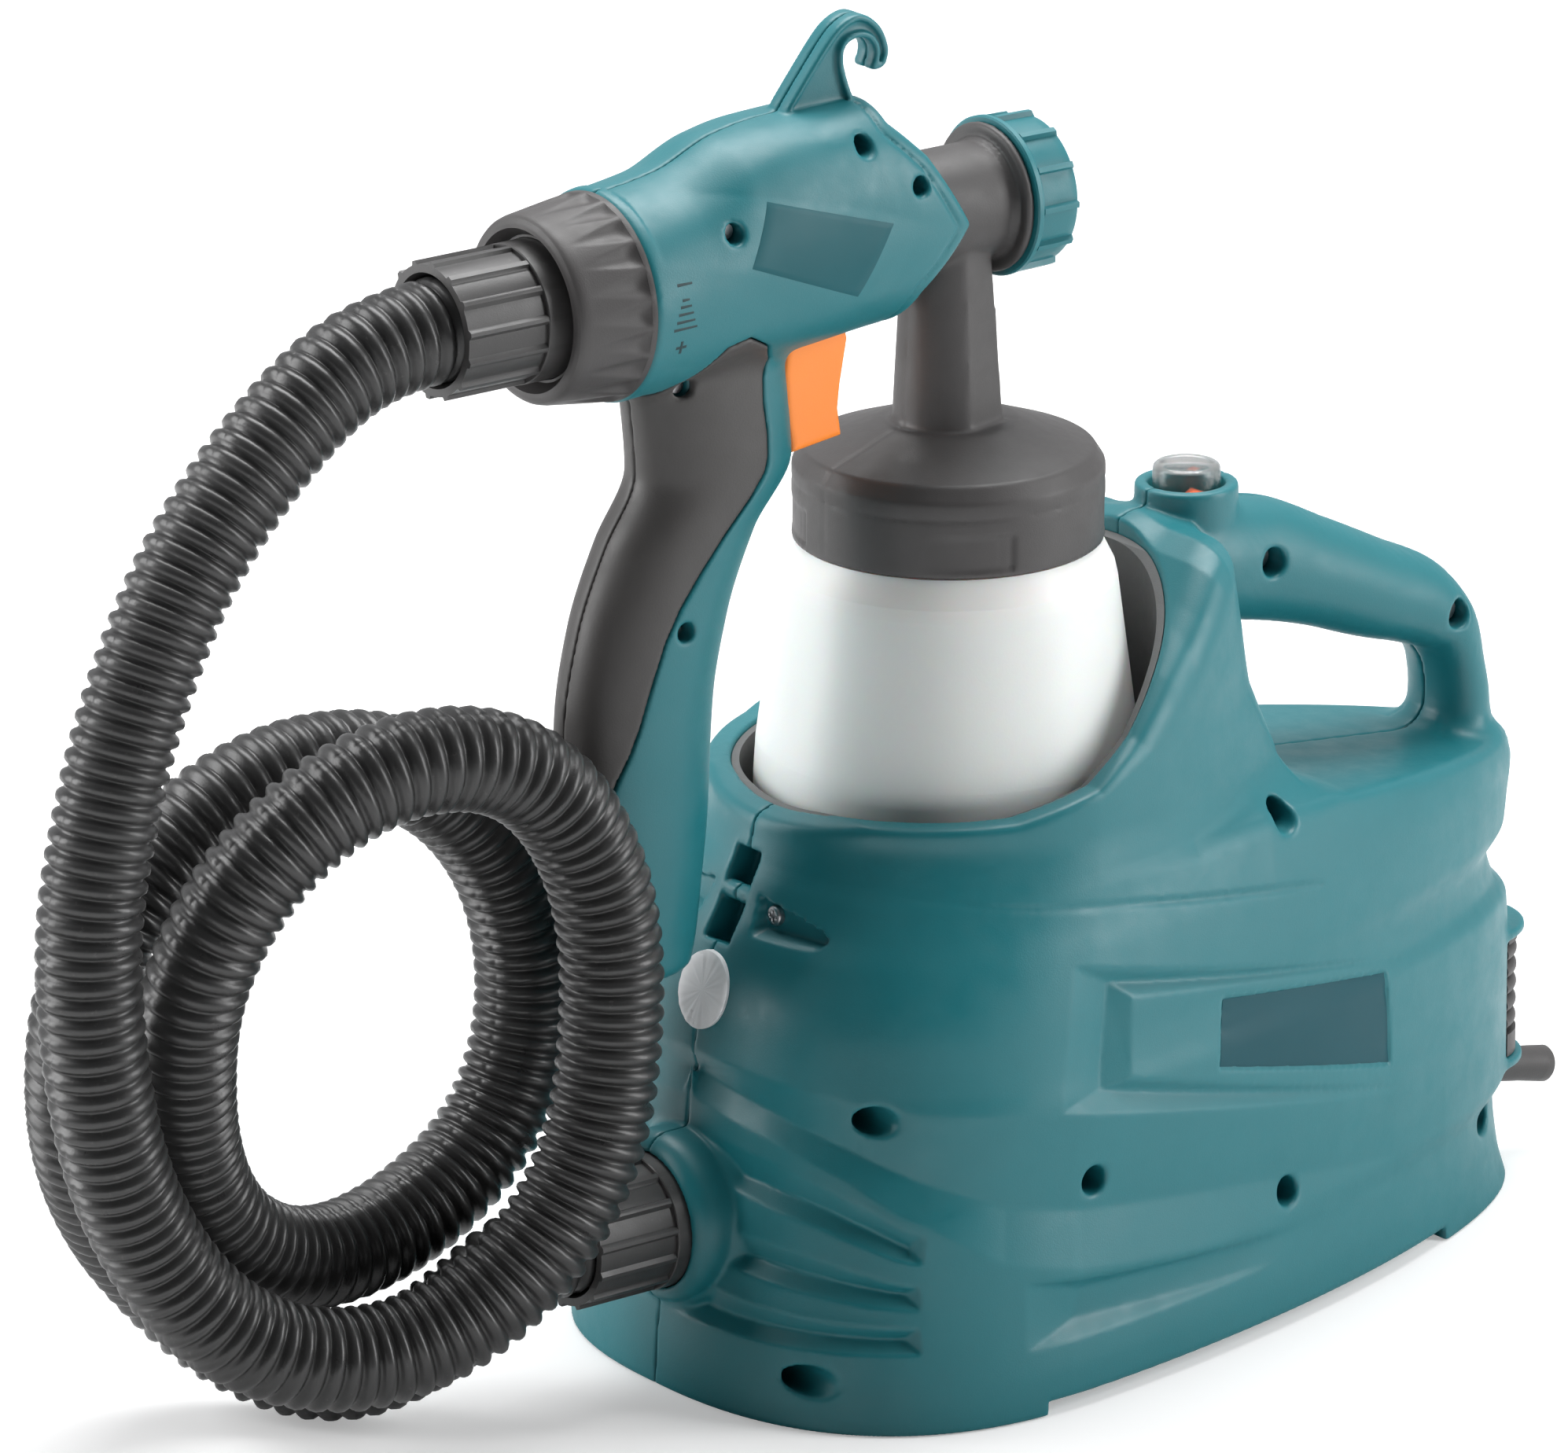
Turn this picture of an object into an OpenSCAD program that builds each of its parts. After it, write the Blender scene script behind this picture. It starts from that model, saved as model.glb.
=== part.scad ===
// Paint sprayer with a floor turbine, a ribbed air hose and a cup gun stowed in the base.
// Millimetres. The base stands on Z = 0, the gun points along +X and Y = 0 is the parting plane.

/* [Turbine housing] */
// Reach of the foot ahead of the cup axis
foot_front = 107.5; // [100:0.5:114]
// Reach of the housing behind the cup axis
foot_rear = 207; // [198:0.5:216]
// Half width of the housing at the floor
foot_half = 87; // [82:0.5:94]
// Wall of the moulded shells
shell_wall = 3; // [2.4:0.1:3.6]
// Height of the deck under the carrying handle
deck_h = 148; // [144:0.5:152]
// Height of the bumper gap under the middle of the base
foot_gap = 4; // [2:0.5:6]
// Outer radius of the shroud round the cup
shroud_r = 71; // [69.5:0.5:75]
// Height of the rim at the front of the shroud
rim_front_h = 165; // [158:1:172]
// Height of the rim at the back of the shroud
rim_back_h = 229; // [226:1:236]
// Height of the air outlet above the floor
outlet_h = 51; // [49:0.5:54]
// Outer radius of the outlet collar
outlet_r = 25.5; // [24:0.5:28]

/* [Carrying handle] */
// Half thickness of the handle, side to side
handle_half = 17; // [14:0.5:20]
// Height of the top face of the switch ring
switch_top_h = 236; // [232:0.5:240]
// Distance of the switch behind the cup axis
switch_x = 88; // [85:0.5:91]
// Outer radius of the switch ring
switch_ring_r = 15.2; // [13.5:0.1:17]
// Radius of the clear switch cap
switch_cap_r = 10; // [9:0.1:11.5]
// How far the clear cap stands above its ring
switch_cap_rise = 5.5; // [3:0.5:8]

/* [Intake filter] */
// Height of the middle of the intake above the floor
intake_h = 57; // [55:0.5:60]
// Height of the intake opening
intake_tall = 38; // [34:1:42]
// Radius of the rounded intake cover in plan
intake_r = 19.5; // [18:0.5:22]
// Number of rounded fins on the cover
fin_count = 5; // [4:1:6]
// Outer radius of the cord sleeve
sleeve_r = 5.6; // [4.5:0.1:7]
// Length of the cord sleeve
sleeve_len = 32; // [26:1:44]

/* [Cup and lid] */
// Largest outer radius of the cup
cup_r = 56; // [54:0.5:57]
// Outer radius of the cup's shoulder, under the lid
cup_shoulder_r = 48.8; // [47:0.2:51]
// Height of the cup below its lid
cup_h = 119.3; // [114:0.5:125]
// Wall of the cup
cup_wall = 1.8; // [1.2:0.1:2.6]
// Height of the well floor that the cup stands on
well_floor_h = 115; // [113:0.5:118]
// Wall of the well liner
liner_wall = 2.2; // [1.6:0.1:2.8]
// Running gap between the cup and the well liner
well_gap = 4; // [3:0.25:4.5]
// Outer radius of the lid
lid_r = 45; // [44:0.5:47]
// Height of the lid's skirt
lid_h = 22; // [19:0.5:26]

/* [Spray gun] */
// Height of the spray axis above the lid's skirt
axis_rise = 76; // [73:0.5:80]
// Outer radius of the barrel
barrel_r = 16.8; // [15.5:0.1:18]
// Outer radius of the nozzle nut
nut_r = 23.2; // [22.4:0.2:25]
// Length of the nozzle nut
nut_len = 16; // [14:0.5:19]
// Radius of the gun body where it meets the airflow collar
tail_r = 30.5; // [30:0.25:32]
// Half thickness of the pistol grip
grip_half = 16; // [14:0.5:18]
// Thickness of the grey grip panels
panel_wall = 3; // [2:0.25:4]
// Thickness of the hanging hook, side to side
hook_thick = 9; // [7:0.5:12]
// Trigger travel in degrees
trigger_angle = 10; // [6:1:12]
// Radius of the trigger pin
trigger_pin_r = 2; // [1.5:0.1:2.5]

/* [Airflow collar] */
// Radius of the collar beside the gun body
collar_r = 29.9; // [28.8:0.1:30.4]
// Radius of the collar beside the hose
collar_tip_r = 27; // [25.6:0.1:27.5]
// Length of the collar
collar_len = 25; // [22:0.5:28]
// Number of finger flutes round the collar
flute_count = 22; // [16:1:26]

/* [Hose] */
// Outer radius of the hose over its ribs
hose_r = 15; // [14.4:0.1:15.4]
// Depth of the ribs
rib_depth = 1.7; // [1:0.1:2]
// Radius of the hose's bore
hose_bore_r = 11.2; // [10:0.1:12]
// Number of ribs along the hose
rib_count = 196; // [120:1:200]
// Outer radius of the hose ends
hose_end_r = 20; // [19:0.1:20.4]
// Length of each hose end that shows
hose_end_len = 29; // [26:0.5:32]

/* [Hidden] */
$fn = 48;

teal = [0.11, 0.42, 0.46];
charcoal = [0.23, 0.22, 0.22];
black = [0.07, 0.07, 0.08];
orange = [1, 0.52, 0.2];
steel = [0.72, 0.73, 0.74];
milky = [0.93, 0.93, 0.92];

// Fits
seat = 0.2;      // clearance of a piece that sits still in another
running = 0.05;  // clearance of a pin or shaft in its bore
free = 0.4;      // clearance of curved faces that move past each other
eps = 0.01;

// Heights and stations that follow from the driving sizes
cup_z = well_floor_h + liner_wall;
lid_z = cup_z + cup_h;
gun_z = lid_z + axis_rise + lid_h;
tail_z = gun_z - 5;
liner_in = cup_r + well_gap;
liner_r = liner_in + liner_wall;
intake_x = foot_rear + 6 - intake_r;
fan_x = 20;
fan_r = 45;
fan_len = 40;
motor_r = 29;
motor_len = 58;
duct_r = 17;
shaft_r = 3;
tail_x = -125;
collar_x = tail_x - collar_len;
front_end = collar_x;
switch_deep = 22;
switch_floor = switch_top_h - switch_deep;
sleeve_tilt = 12;
sleeve_h = 31;
sleeve_x = foot_rear - 7;
rear_end = sleeve_x + (sleeve_len - 1) * cos(sleeve_tilt) + sleeve_r * sin(sleeve_tilt);
mid_x = (front_end + rear_end) / 2;

// Moves a piece from the cup's axis to the middle of the footprint
module home() {
    translate([-mid_x, 0, 0])
        children();
}

// ---------- Lofts ----------

// Triangles between two rings of k points that start at points a and b, seen clockwise from outside
function band(a, b, k) = [
    for (i = [0 : k - 1])
        let (j = (i + 1) % k)
            each [[a + i, b + i, b + j], [a + i, b + j, a + j]]
];

// A closed skin over rings of equal count, each running anticlockwise seen from the last ring's side
module skin(rings) {
    k = len(rings[0]);
    n = len(rings);
    polyhedron(
        points = [for (r = rings) each r],
        faces = concat(
            [[for (i = [0 : k - 1]) i]],
            [for (r = [0 : n - 2]) each band(r * k, (r + 1) * k, k)],
            [[for (i = [0 : k - 1]) n * k - 1 - i]]
        )
    );
}

function power(v, p) = v <= 0 ? 0 : pow(v, p);
function signed(v, p) = sign(v) * power(abs(v), p);

// Half of a teardrop outline in plan, from its front tip round the near side to its rear tip.
// s holds height, front reach, widest station, rear reach, half width and the front's squareness.
function teardrop(s, inset = 0) =
    let (front = -s[1] + inset, wide = s[2], rear = s[3] - inset, half = s[4] - inset, square = s[5])
    concat(
        [for (i = [0 : 9])
            let (a = 10 * i)
                [wide - (wide - front) * power(cos(a), 2 / square), -half * power(sin(a), 2 / square), s[0]]],
        [for (i = [1 : 10])
            let (t = sin(9 * i))
                [wide + (rear - wide) * t, i == 10 ? 0 : -half * power(1 - power(t, 1.4), 1 / 1.9), s[0]]]
    );

// Half of a rounded section across X, from its top round the near side to its bottom.
// s holds station, middle height, half height, half width and squareness.
function section_x(s, inset = 0) = [
    for (i = [0 : 14])
        let (a = 90 - 180 * i / 14)
            [
                s[0],
                i == 0 || i == 14 ? 0 : -(s[3] - inset) * power(cos(a), 2 / s[4]),
                s[1] + (s[2] - inset) * signed(sin(a), 2 / s[4])
            ]
];

// Half of a rounded section across Z, from its front round the near side to its back.
// s holds height, middle station, half length, half width and squareness.
function section_z(s, inset = 0) = [
    for (i = [0 : 12])
        let (a = 180 - 15 * i)
            [
                s[1] + (s[2] - inset) * signed(cos(a), 2 / s[4]),
                i == 0 || i == 12 ? 0 : -(s[3] - inset) * power(sin(a), 2 / s[4]),
                s[0]
            ]
];

// Half of an oval section square to a path in the parting plane.
// s holds station, height, path angle, half height and half width.
function section_path(s) = [
    for (i = [0 : 12])
        let (a = 90 - 15 * i)
            [
                s[0] - sin(s[2]) * s[3] * sin(a),
                i == 0 || i == 12 ? 0 : -s[4] * power(cos(a), 0.9),
                s[1] + cos(s[2]) * s[3] * sin(a)
            ]
];

// ---------- Turbine housing ----------

body_sections = [
    [0, foot_front - 1.5, -25, foot_rear + 1.5, foot_half + 2, 2.45],
    [12, foot_front - 2, -24, foot_rear - 2.5, foot_half + 1.5, 2.45],
    [28, foot_front - 4, -22, foot_rear - 4.5, foot_half - 0.5, 2.5],
    [36, foot_front - 6.5, -21, foot_rear + 1, foot_half - 1, 2.5],
    [74, foot_front - 13, -18, foot_rear + 1, foot_half - 3, 2.5],
    [90, foot_front - 14.5, -16, foot_rear, foot_half - 4, 2.5],
    [98, foot_front - 15.5, -15, foot_rear - 6, foot_half - 5.5, 2.5],
    [105, foot_front - 16.5, -14, foot_rear - 8, foot_half - 6.5, 2.5],
    [114, foot_front - 18, -12, foot_rear - 1, foot_half - 7.5, 2.5],
    [131, foot_front - 24, -8, foot_rear + 0.5, foot_half - 10.5, 2.4],
    [140, foot_front - 29, -5, foot_rear - 2, foot_half - 13, 2.3],
    [deck_h + 3, foot_front - 34, -2, foot_rear - 14, foot_half - 16.5, 2.2]
];

shroud_sections = [
    [110, shroud_r + 9, -8, 150, shroud_r, 2.2],
    [deck_h, shroud_r + 3.2, -2, 134, shroud_r + 1, 2.1],
    [rim_front_h, shroud_r - 1, 0, 122, shroud_r - 1, 2],
    [190, shroud_r - 1, 0, 109, shroud_r - 1, 2],
    [switch_top_h + 4, shroud_r - 1, 0, 102, shroud_r - 1, 2]
];

handle_sections = [
    [50, 211, -4, 15, handle_half - 1],
    [78, 212, -6, 18.5, handle_half + 1],
    [92, 211.5, -8, 18.5, handle_half + 1],
    [110, 208.5, -14, 18.5, handle_half],
    [134, 200, -22, 16.3, handle_half],
    [155, 191, -25, 15, handle_half],
    [172, 184, -32, 13.6, handle_half],
    [183, 175, -56, 10.6, handle_half - 1],
    [187.8, 163, -80, 9, handle_half - 2.5],
    [189.6, 150, -90, 10, handle_half - 2.5],
    [188.5, 134, -95, 16, handle_half]
];

// Side view of the housing: rim of the shroud, back of the shroud and the deck
rim_line = [
    [-shroud_r - 12, rim_front_h - 2],
    [-shroud_r, rim_front_h],
    [-58, rim_front_h + 4.5],
    [-24, rim_front_h + 6],
    [1, rim_front_h + 12],
    [18, rim_front_h + 23],
    [33, rim_front_h + 37],
    [50, rim_back_h - 13],
    [60, rim_back_h - 4],
    [68, rim_back_h]
];
back_line = [
    [78, rim_back_h - 2],
    [84, rim_back_h - 24],
    [88.5, rim_back_h - 47],
    [91, rim_back_h - 66],
    [98, deck_h + 6],
    [110, deck_h + 1.5],
    [122, deck_h],
    [180, deck_h - 6],
    [foot_rear + 20, deck_h - 11]
];

module side_view(lower = 0) {
    rotate([90, 0, 0])
        linear_extrude(height = 2 * foot_half + 20, center = true)
            translate([0, -lower])
                polygon(concat(
                    [[-foot_front - 20, -1]],
                    [[-foot_front - 20, rim_front_h - 2]],
                    rim_line,
                    back_line,
                    [[foot_rear + 20, -1]]
                ));
}

module housing_solid() {
    intersection() {
        union() {
            skin([for (s = body_sections) teardrop(s)]);
            skin([for (s = shroud_sections) teardrop(s)]);
        }
        side_view();
    }
    skin([for (s = handle_sections) section_path(s)]);
}

// One half of a round feature that stands on the parting plane
module near_half(span) {
    intersection() {
        children();
        translate([-span, -span, -span])
            cube([2 * span, span, 3 * span]);
    }
}

module along_x(x) {
    translate([x, 0, 0])
        rotate([0, 90, 0])
            children();
}

// Collar round the air outlet, with a rounded nose
module outlet_collar() {
    nose = 5;
    translate([-foot_front - 1, 0, outlet_h])
        rotate([0, 90, 0])
            rotate_extrude($fn = 64)
                union() {
                    square([outlet_r - nose, 34]);
                    translate([0, nose])
                        square([outlet_r, 34 - nose]);
                    translate([outlet_r - nose, nose])
                        circle(r = nose);
                }
}

// Raised teal frame round the intake, rounded in plan like the cover
module intake_frame() {
    lip = 3;
    for (z = [intake_h - intake_tall / 2 - lip, intake_h + intake_tall / 2])
        translate([intake_x, 0, z])
            cylinder(r = intake_r + 1.5, h = lip, $fn = 64);
}

eyelet_w = 11;
eyelet_front = [-74, 143];
eyelet_rear = [foot_rear - 13, 90];
strap_bar_r = 2.75;

// Strap eyelets: a slot through the wall with a bar across it
module eyelet_cut(x, z, tilt, tall, deep) {
    translate([x, 0, z])
        rotate([0, tilt, 0])
            cube([deep, eyelet_w, tall], center = true);
}

screw_hole_r = 4.3;
screw_r = 3.4;
// Housing screws in side view, with the depth of each hole's floor from the parting plane
housing_screw_points = [
    [-73, 91, 30],
    [-10, 65, 56],
    [-92, 15, 28],
    [71, 40, 46],
    [78, 150, 36],
    [180, 26, 20],
    [108, 211, 7],
    [180, 181, 7]
];

module housing_holes() {
    for (p = housing_screw_points)
        translate([p[0], -p[2], p[1]])
            rotate([90, 0, 0])
                cylinder(r = screw_hole_r, h = 90);
}

// Moulded grooves that fan out from the outlet collar
module groove(x0, z0, x1, z1, w0, w1) {
    rotate([90, 0, 0])
        linear_extrude(height = foot_half + 5)
            polygon([[x0, z0 - w0 / 2], [x1, z1 - w1 / 2], [x1, z1 + w1 / 2], [x0, z0 + w0 / 2]]);
}

module relief_cuts() {
    depth = 2.4;
    difference() {
        union() {
            groove(-97, 76, -66, 54, 4, 8);
            groove(-99, 48, -68, 40.5, 6, 7);
            groove(-103, 27, -69, 27, 6, 6);
            rotate([90, 0, 0])
                linear_extrude(height = foot_half + 5)
                    polygon([[-90, 90], [-62, 78], [-36, 70], [60, 66], [120, 54], [150, 44], [60, 52],
                             [-18, 56], [-36, 44], [-64, 68], [-92, 82]]);
        }
        skin([for (s = body_sections) teardrop(s, depth)]);
    }
}

// Raised field round the label, and the label's own recess
module label_cuts() {
    depth = 1.6;
    difference() {
        rotate([90, 0, 0])
            linear_extrude(height = foot_half + 5)
                polygon([[44, 87], [118, 66], [118, 94], [44, 106]]);
        skin([for (s = body_sections) teardrop(s, depth)]);
    }
}

module rib_plate(x, thick) {
    translate([x, -foot_half, 0])
        cube([thick, foot_half, deck_h]);
}

// Room for the turbine, crossed by the ribs that cradle it
module cavity() {
    rib = 3;
    difference() {
        intersection() {
            skin([for (s = body_sections) teardrop(s, shell_wall)]);
            translate([-foot_front, -foot_half, shell_wall + foot_gap])
                cube([intake_x + foot_front, foot_half + 1, deck_h - 7 - 2 * shell_wall - foot_gap]);
        }
        translate([0, 0, well_floor_h - shell_wall])
            cylinder(r = liner_r + shell_wall, h = 60, $fn = 96);
        rib_plate(-foot_front, 26);
        rib_plate(-40, rib);
        rib_plate(fan_x + fan_len / 2, rib);
        rib_plate(fan_x + fan_len + 14, rib);
        rib_plate(fan_x + fan_len + motor_len - 8, rib);
        rib_plate(intake_x - 8, 8);
        for (p = housing_screw_points)
            translate([p[0], 0, p[1]])
                rotate([90, 0, 0])
                    cylinder(r = screw_hole_r + 2.6, h = foot_half);
    }
}

module turbine_seats() {
    along_x(fan_x - seat)
        translate([-outlet_h, 0, 0])
            cylinder(r = fan_r + seat, h = fan_len + 2 * seat, $fn = 96);
    along_x(fan_x + fan_len)
        translate([-outlet_h, 0, 0])
            cylinder(r = motor_r + seat, h = motor_len + 2 * seat, $fn = 96);
    along_x(-foot_front + 20)
        translate([-outlet_h, 0, 0])
            cylinder(r = duct_r + seat, h = foot_front + fan_x - 20, $fn = 64);
    along_x(-foot_front - 2)
        translate([-outlet_h, 0, 0])
            cylinder(r = hose_end_r + seat, h = 22 + eps, $fn = 64);
}

module intake_room() {
    translate([intake_x + 2 + seat, -intake_r + 1, intake_h - intake_tall / 2])
        cube([intake_r + 10, 2 * intake_r - 2, intake_tall]);
    translate([intake_x - 12, 2 - intake_r / 2 - seat, intake_h - intake_tall / 2])
        cube([14 + 2 * seat, intake_r - 4 + 2 * seat, intake_tall]);
    translate([intake_x - 24, -8, intake_h - 12])
        cube([14, 16, 24]);
}

module housing_half() {
    difference() {
        union() {
            housing_solid();
            near_half(400)
                outlet_collar();
            near_half(400)
                intake_frame();
            near_half(400)
                translate([switch_x, 0, rim_back_h - 19])
                    cylinder(r = switch_ring_r, h = switch_top_h - rim_back_h + 19, $fn = 64);
        }
        cavity();
        turbine_seats();
        intake_room();
        relief_cuts();
        housing_holes();
        translate([0, 0, well_floor_h - seat])
            cylinder(r = liner_r + seat, h = 200, $fn = 96);
        translate([-31, -foot_half - 5, -1])
            cube([181, foot_half + 6, foot_gap + 1]);
        eyelet_cut(eyelet_front[0] - 3, eyelet_front[1], 22, 28, 18);
        eyelet_cut(eyelet_rear[0] + 4, eyelet_rear[1] + 1, -10, 15, 20);
        translate([switch_x, 0, switch_floor])
            cylinder(r = switch_cap_r + 1.4, h = 30, $fn = 64);
        along_sleeve(0)
            cylinder(r = sleeve_r + seat, h = 60);
        along_sleeve(0)
            cylinder(r = sleeve_r + 1.4 + seat, h = 3 + seat);
    }
    for (p = [eyelet_front, eyelet_rear])
        translate([p[0], 0, p[1]])
            rotate([90, 0, 0])
                cylinder(r = strap_bar_r, h = eyelet_w / 2 + 1, $fn = 32);
}

module housing_near() {
    color(teal)
        home()
            difference() {
                housing_half();
                label_cuts();
            }
}

module housing_far() {
    color(teal)
        home()
            mirror([0, 1, 0])
                housing_half();
}

module well_liner() {
    color(charcoal)
        home()
            intersection() {
                difference() {
                    translate([0, 0, well_floor_h])
                        cylinder(r = liner_r, h = 140, $fn = 96);
                    translate([0, 0, well_floor_h + liner_wall])
                        cylinder(r = liner_in, h = 140, $fn = 96);
                }
                side_view(1.5);
            }
}

module housing_screws() {
    color(steel)
        home()
            for (p = housing_screw_points)
                translate([p[0], -p[2], p[1]])
                    rotate([90, 0, 0])
                        cylinder(r = screw_r, h = 2.6, $fn = 24);
}

// ---------- Switch ----------

module switch_body() {
    color(black)
        home()
            translate([switch_x, 0, switch_floor])
                difference() {
                    cylinder(r = switch_cap_r + 1.2, h = 14, $fn = 64);
                    translate([-7.5, -5, 5])
                        cube([15, 10, 10]);
                    translate([0, 6, 12])
                        rotate([90, 0, 0])
                            cylinder(r = 1, h = 12, $fn = 24);
                }
}

module switch_rocker() {
    color([0.95, 0.36, 0.12])
        home()
            translate([switch_x, 0, switch_floor + 12])
                rotate([90, 0, 0]) {
                    translate([0, 0, -4.6])
                        linear_extrude(height = 9.2)
                            polygon([
                                [-6.6, 1.5],
                                [-5.4, -4],
                                [5.4, -4],
                                [6.6, 1.5],
                                [6.2, 5.4],
                                [0, 3],
                                [-6.2, 6.4]
                            ]);
                    translate([0, 0, -5.8])
                        cylinder(r = 1 - running, h = 11.6, $fn = 24);
                }
}

module switch_cap() {
    color([0.85, 0.85, 0.86, 0.4])
        home()
            translate([switch_x, 0, switch_floor + 14])
                difference() {
                    cylinder(r = switch_cap_r, h = switch_deep - 14 + switch_cap_rise, $fn = 64);
                    translate([0, 0, -1])
                        cylinder(r = switch_cap_r - 1, h = switch_deep - 14 + switch_cap_rise, $fn = 64);
                }
}

// ---------- Intake ----------

cover_foot = 8;   // height of the plain band under the fins
cover_head = 3;   // height of the plain band over the fins
fin_pitch = (intake_tall - cover_foot - cover_head) / fin_count;

module cover_section() {
    back = intake_r - 6;
    translate([back, seat])
        square([1.6, intake_tall - 2 * seat]);
    for (i = [0 : fin_count - 1])
        translate([intake_r - fin_pitch / 2 - 0.3, cover_foot + fin_pitch * (i + 0.5)])
            union() {
                circle(r = fin_pitch / 2 - 0.3, $fn = 16);
                translate([-3, -0.8])
                    square([3, 1.6]);
            }
    translate([back, seat])
        square([5.5, cover_foot - 1]);
    translate([back, intake_tall - cover_head + 1 - seat])
        square([5.5, cover_head - 1]);
}

module filter_cover() {
    color(charcoal)
        home()
            translate([intake_x, 0, intake_h - intake_tall / 2])
                difference() {
                    rotate([0, 0, -70])
                        rotate_extrude(angle = 140, $fn = 64)
                            cover_section();
                    for (i = [1 : fin_count - 1], a = [-40, 0, 40])
                        translate([0, 0, cover_foot + fin_pitch * i])
                            rotate([0, 0, a])
                                translate([intake_r - 7, -4.5, -0.7])
                                    cube([4, 9, 1.4]);
                }
}

module air_filter() {
    color([0.16, 0.16, 0.17])
        home()
            translate([intake_x - 12 + seat, 2 - intake_r / 2, intake_h - intake_tall / 2 + seat])
                cube([14, intake_r - 4, intake_tall - 2 * seat]);
}

// ---------- Turbine ----------

module fan_housing() {
    color([0.5, 0.5, 0.52])
        home()
            along_x(fan_x)
                translate([-outlet_h, 0, 0])
                    difference() {
                        union() {
                            cylinder(r = fan_r, h = fan_len, $fn = 96);
                            translate([0, 0, -fan_x - foot_front + 20])
                                cylinder(r = duct_r, h = fan_x + foot_front - 19, $fn = 64);
                        }
                        translate([0, 0, 3])
                            cylinder(r = fan_r - 2.5, h = fan_len - 6, $fn = 96);
                        translate([0, 0, -fan_x - foot_front + 19])
                            cylinder(r = duct_r - 2, h = fan_x + foot_front, $fn = 64);
                        cylinder(r = 12, h = fan_len + 1, $fn = 48);
                    }
}

blade_count = 8;

module impeller() {
    color([0.78, 0.78, 0.8])
        home()
            along_x(fan_x + 8)
                translate([-outlet_h, 0, 0])
                    difference() {
                        union() {
                            cylinder(r = fan_r - 6, h = 2, $fn = 96);
                            translate([0, 0, 20])
                                difference() {
                                    cylinder(r = fan_r - 6, h = 1.6, $fn = 96);
                                    translate([0, 0, -1])
                                        cylinder(r = 16, h = 4, $fn = 64);
                                }
                            cylinder(r = 8, h = 18, $fn = 48);
                            for (i = [0 : blade_count - 1])
                                rotate([0, 0, 360 / blade_count * i])
                                    translate([7, -0.8, 1])
                                        cube([fan_r - 14, 1.6, 19.4]);
                        }
                        translate([0, 0, -1])
                            cylinder(r = shaft_r, h = 30, $fn = 32);
                    }
}

module motor_shaft() {
    color(steel)
        home()
            along_x(fan_x + 7)
                translate([-outlet_h, 0, 0])
                    cylinder(r = shaft_r, h = fan_len + motor_len - 5, $fn = 32);
}

module motor() {
    color([0.35, 0.36, 0.38])
        home()
            along_x(fan_x + fan_len)
                translate([-outlet_h, 0, 0])
                    difference() {
                        union() {
                            cylinder(r = motor_r, h = motor_len - 12, $fn = 96);
                            cylinder(r = motor_r - 9, h = motor_len, $fn = 64);
                        }
                        translate([0, 0, -1])
                            cylinder(r = shaft_r + running, h = motor_len + 2, $fn = 32);
                        for (a = [0 : 45 : 315])
                            rotate([0, 0, a])
                                translate([motor_r - 6, 0, 6])
                                    cylinder(r = 2.4, h = motor_len, $fn = 24);
                    }
}

// ---------- Cord sleeve ----------

module along_sleeve(start) {
    translate([sleeve_x, 0, sleeve_h])
        rotate([0, 90 + sleeve_tilt, 0])
            translate([0, 0, start - 1])
                children();
}

module cord_sleeve() {
    color(charcoal)
        home()
            along_sleeve(0)
                difference() {
                    union() {
                        cylinder(r = sleeve_r, h = sleeve_len);
                        cylinder(r = sleeve_r + 1.2, h = 3);
                    }
                    translate([0, 0, sleeve_len - 5])
                        cylinder(r = sleeve_r - 1.6, h = 6);
                }
}

// ---------- Hose ----------

socket_depth = 27;
plug_len = 22;
bar_count = 10;

// The same moulded end is fitted to both ends of the hose. It lies along Z, its mouth at Z = 0.
module hose_end() {
    core_r = hose_end_r - 1.6;
    rim = 2.4;
    color(black)
        difference() {
            union() {
                cylinder(r = core_r, h = hose_end_len, $fn = 64);
                cylinder(r = hose_end_r, h = rim, $fn = 64);
                translate([0, 0, hose_end_len - rim])
                    cylinder(r = hose_end_r, h = rim + plug_len, $fn = 64);
                for (i = [0 : bar_count - 1])
                    rotate([0, 0, 360 / bar_count * i])
                        translate([0, -1.5, 0])
                            cube([hose_end_r - 0.1, 3, hose_end_len]);
            }
            translate([0, 0, -eps])
                cylinder(r = hose_r + free, h = socket_depth + eps, $fn = 64);
            cylinder(r = hose_bore_r, h = hose_end_len + plug_len + eps, $fn = 64);
        }
}

end_base_x = -foot_front - 2 - hose_end_len;
end_gun_x = collar_x - hose_end_len - 3;

module hose_end_base() {
    home()
        along_x(end_base_x)
            translate([-outlet_h, 0, 0])
                hose_end();
}

module hose_end_gun() {
    home()
        along_x(end_gun_x)
            translate([-tail_z, 0, 0])
                hose_end();
}

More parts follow.
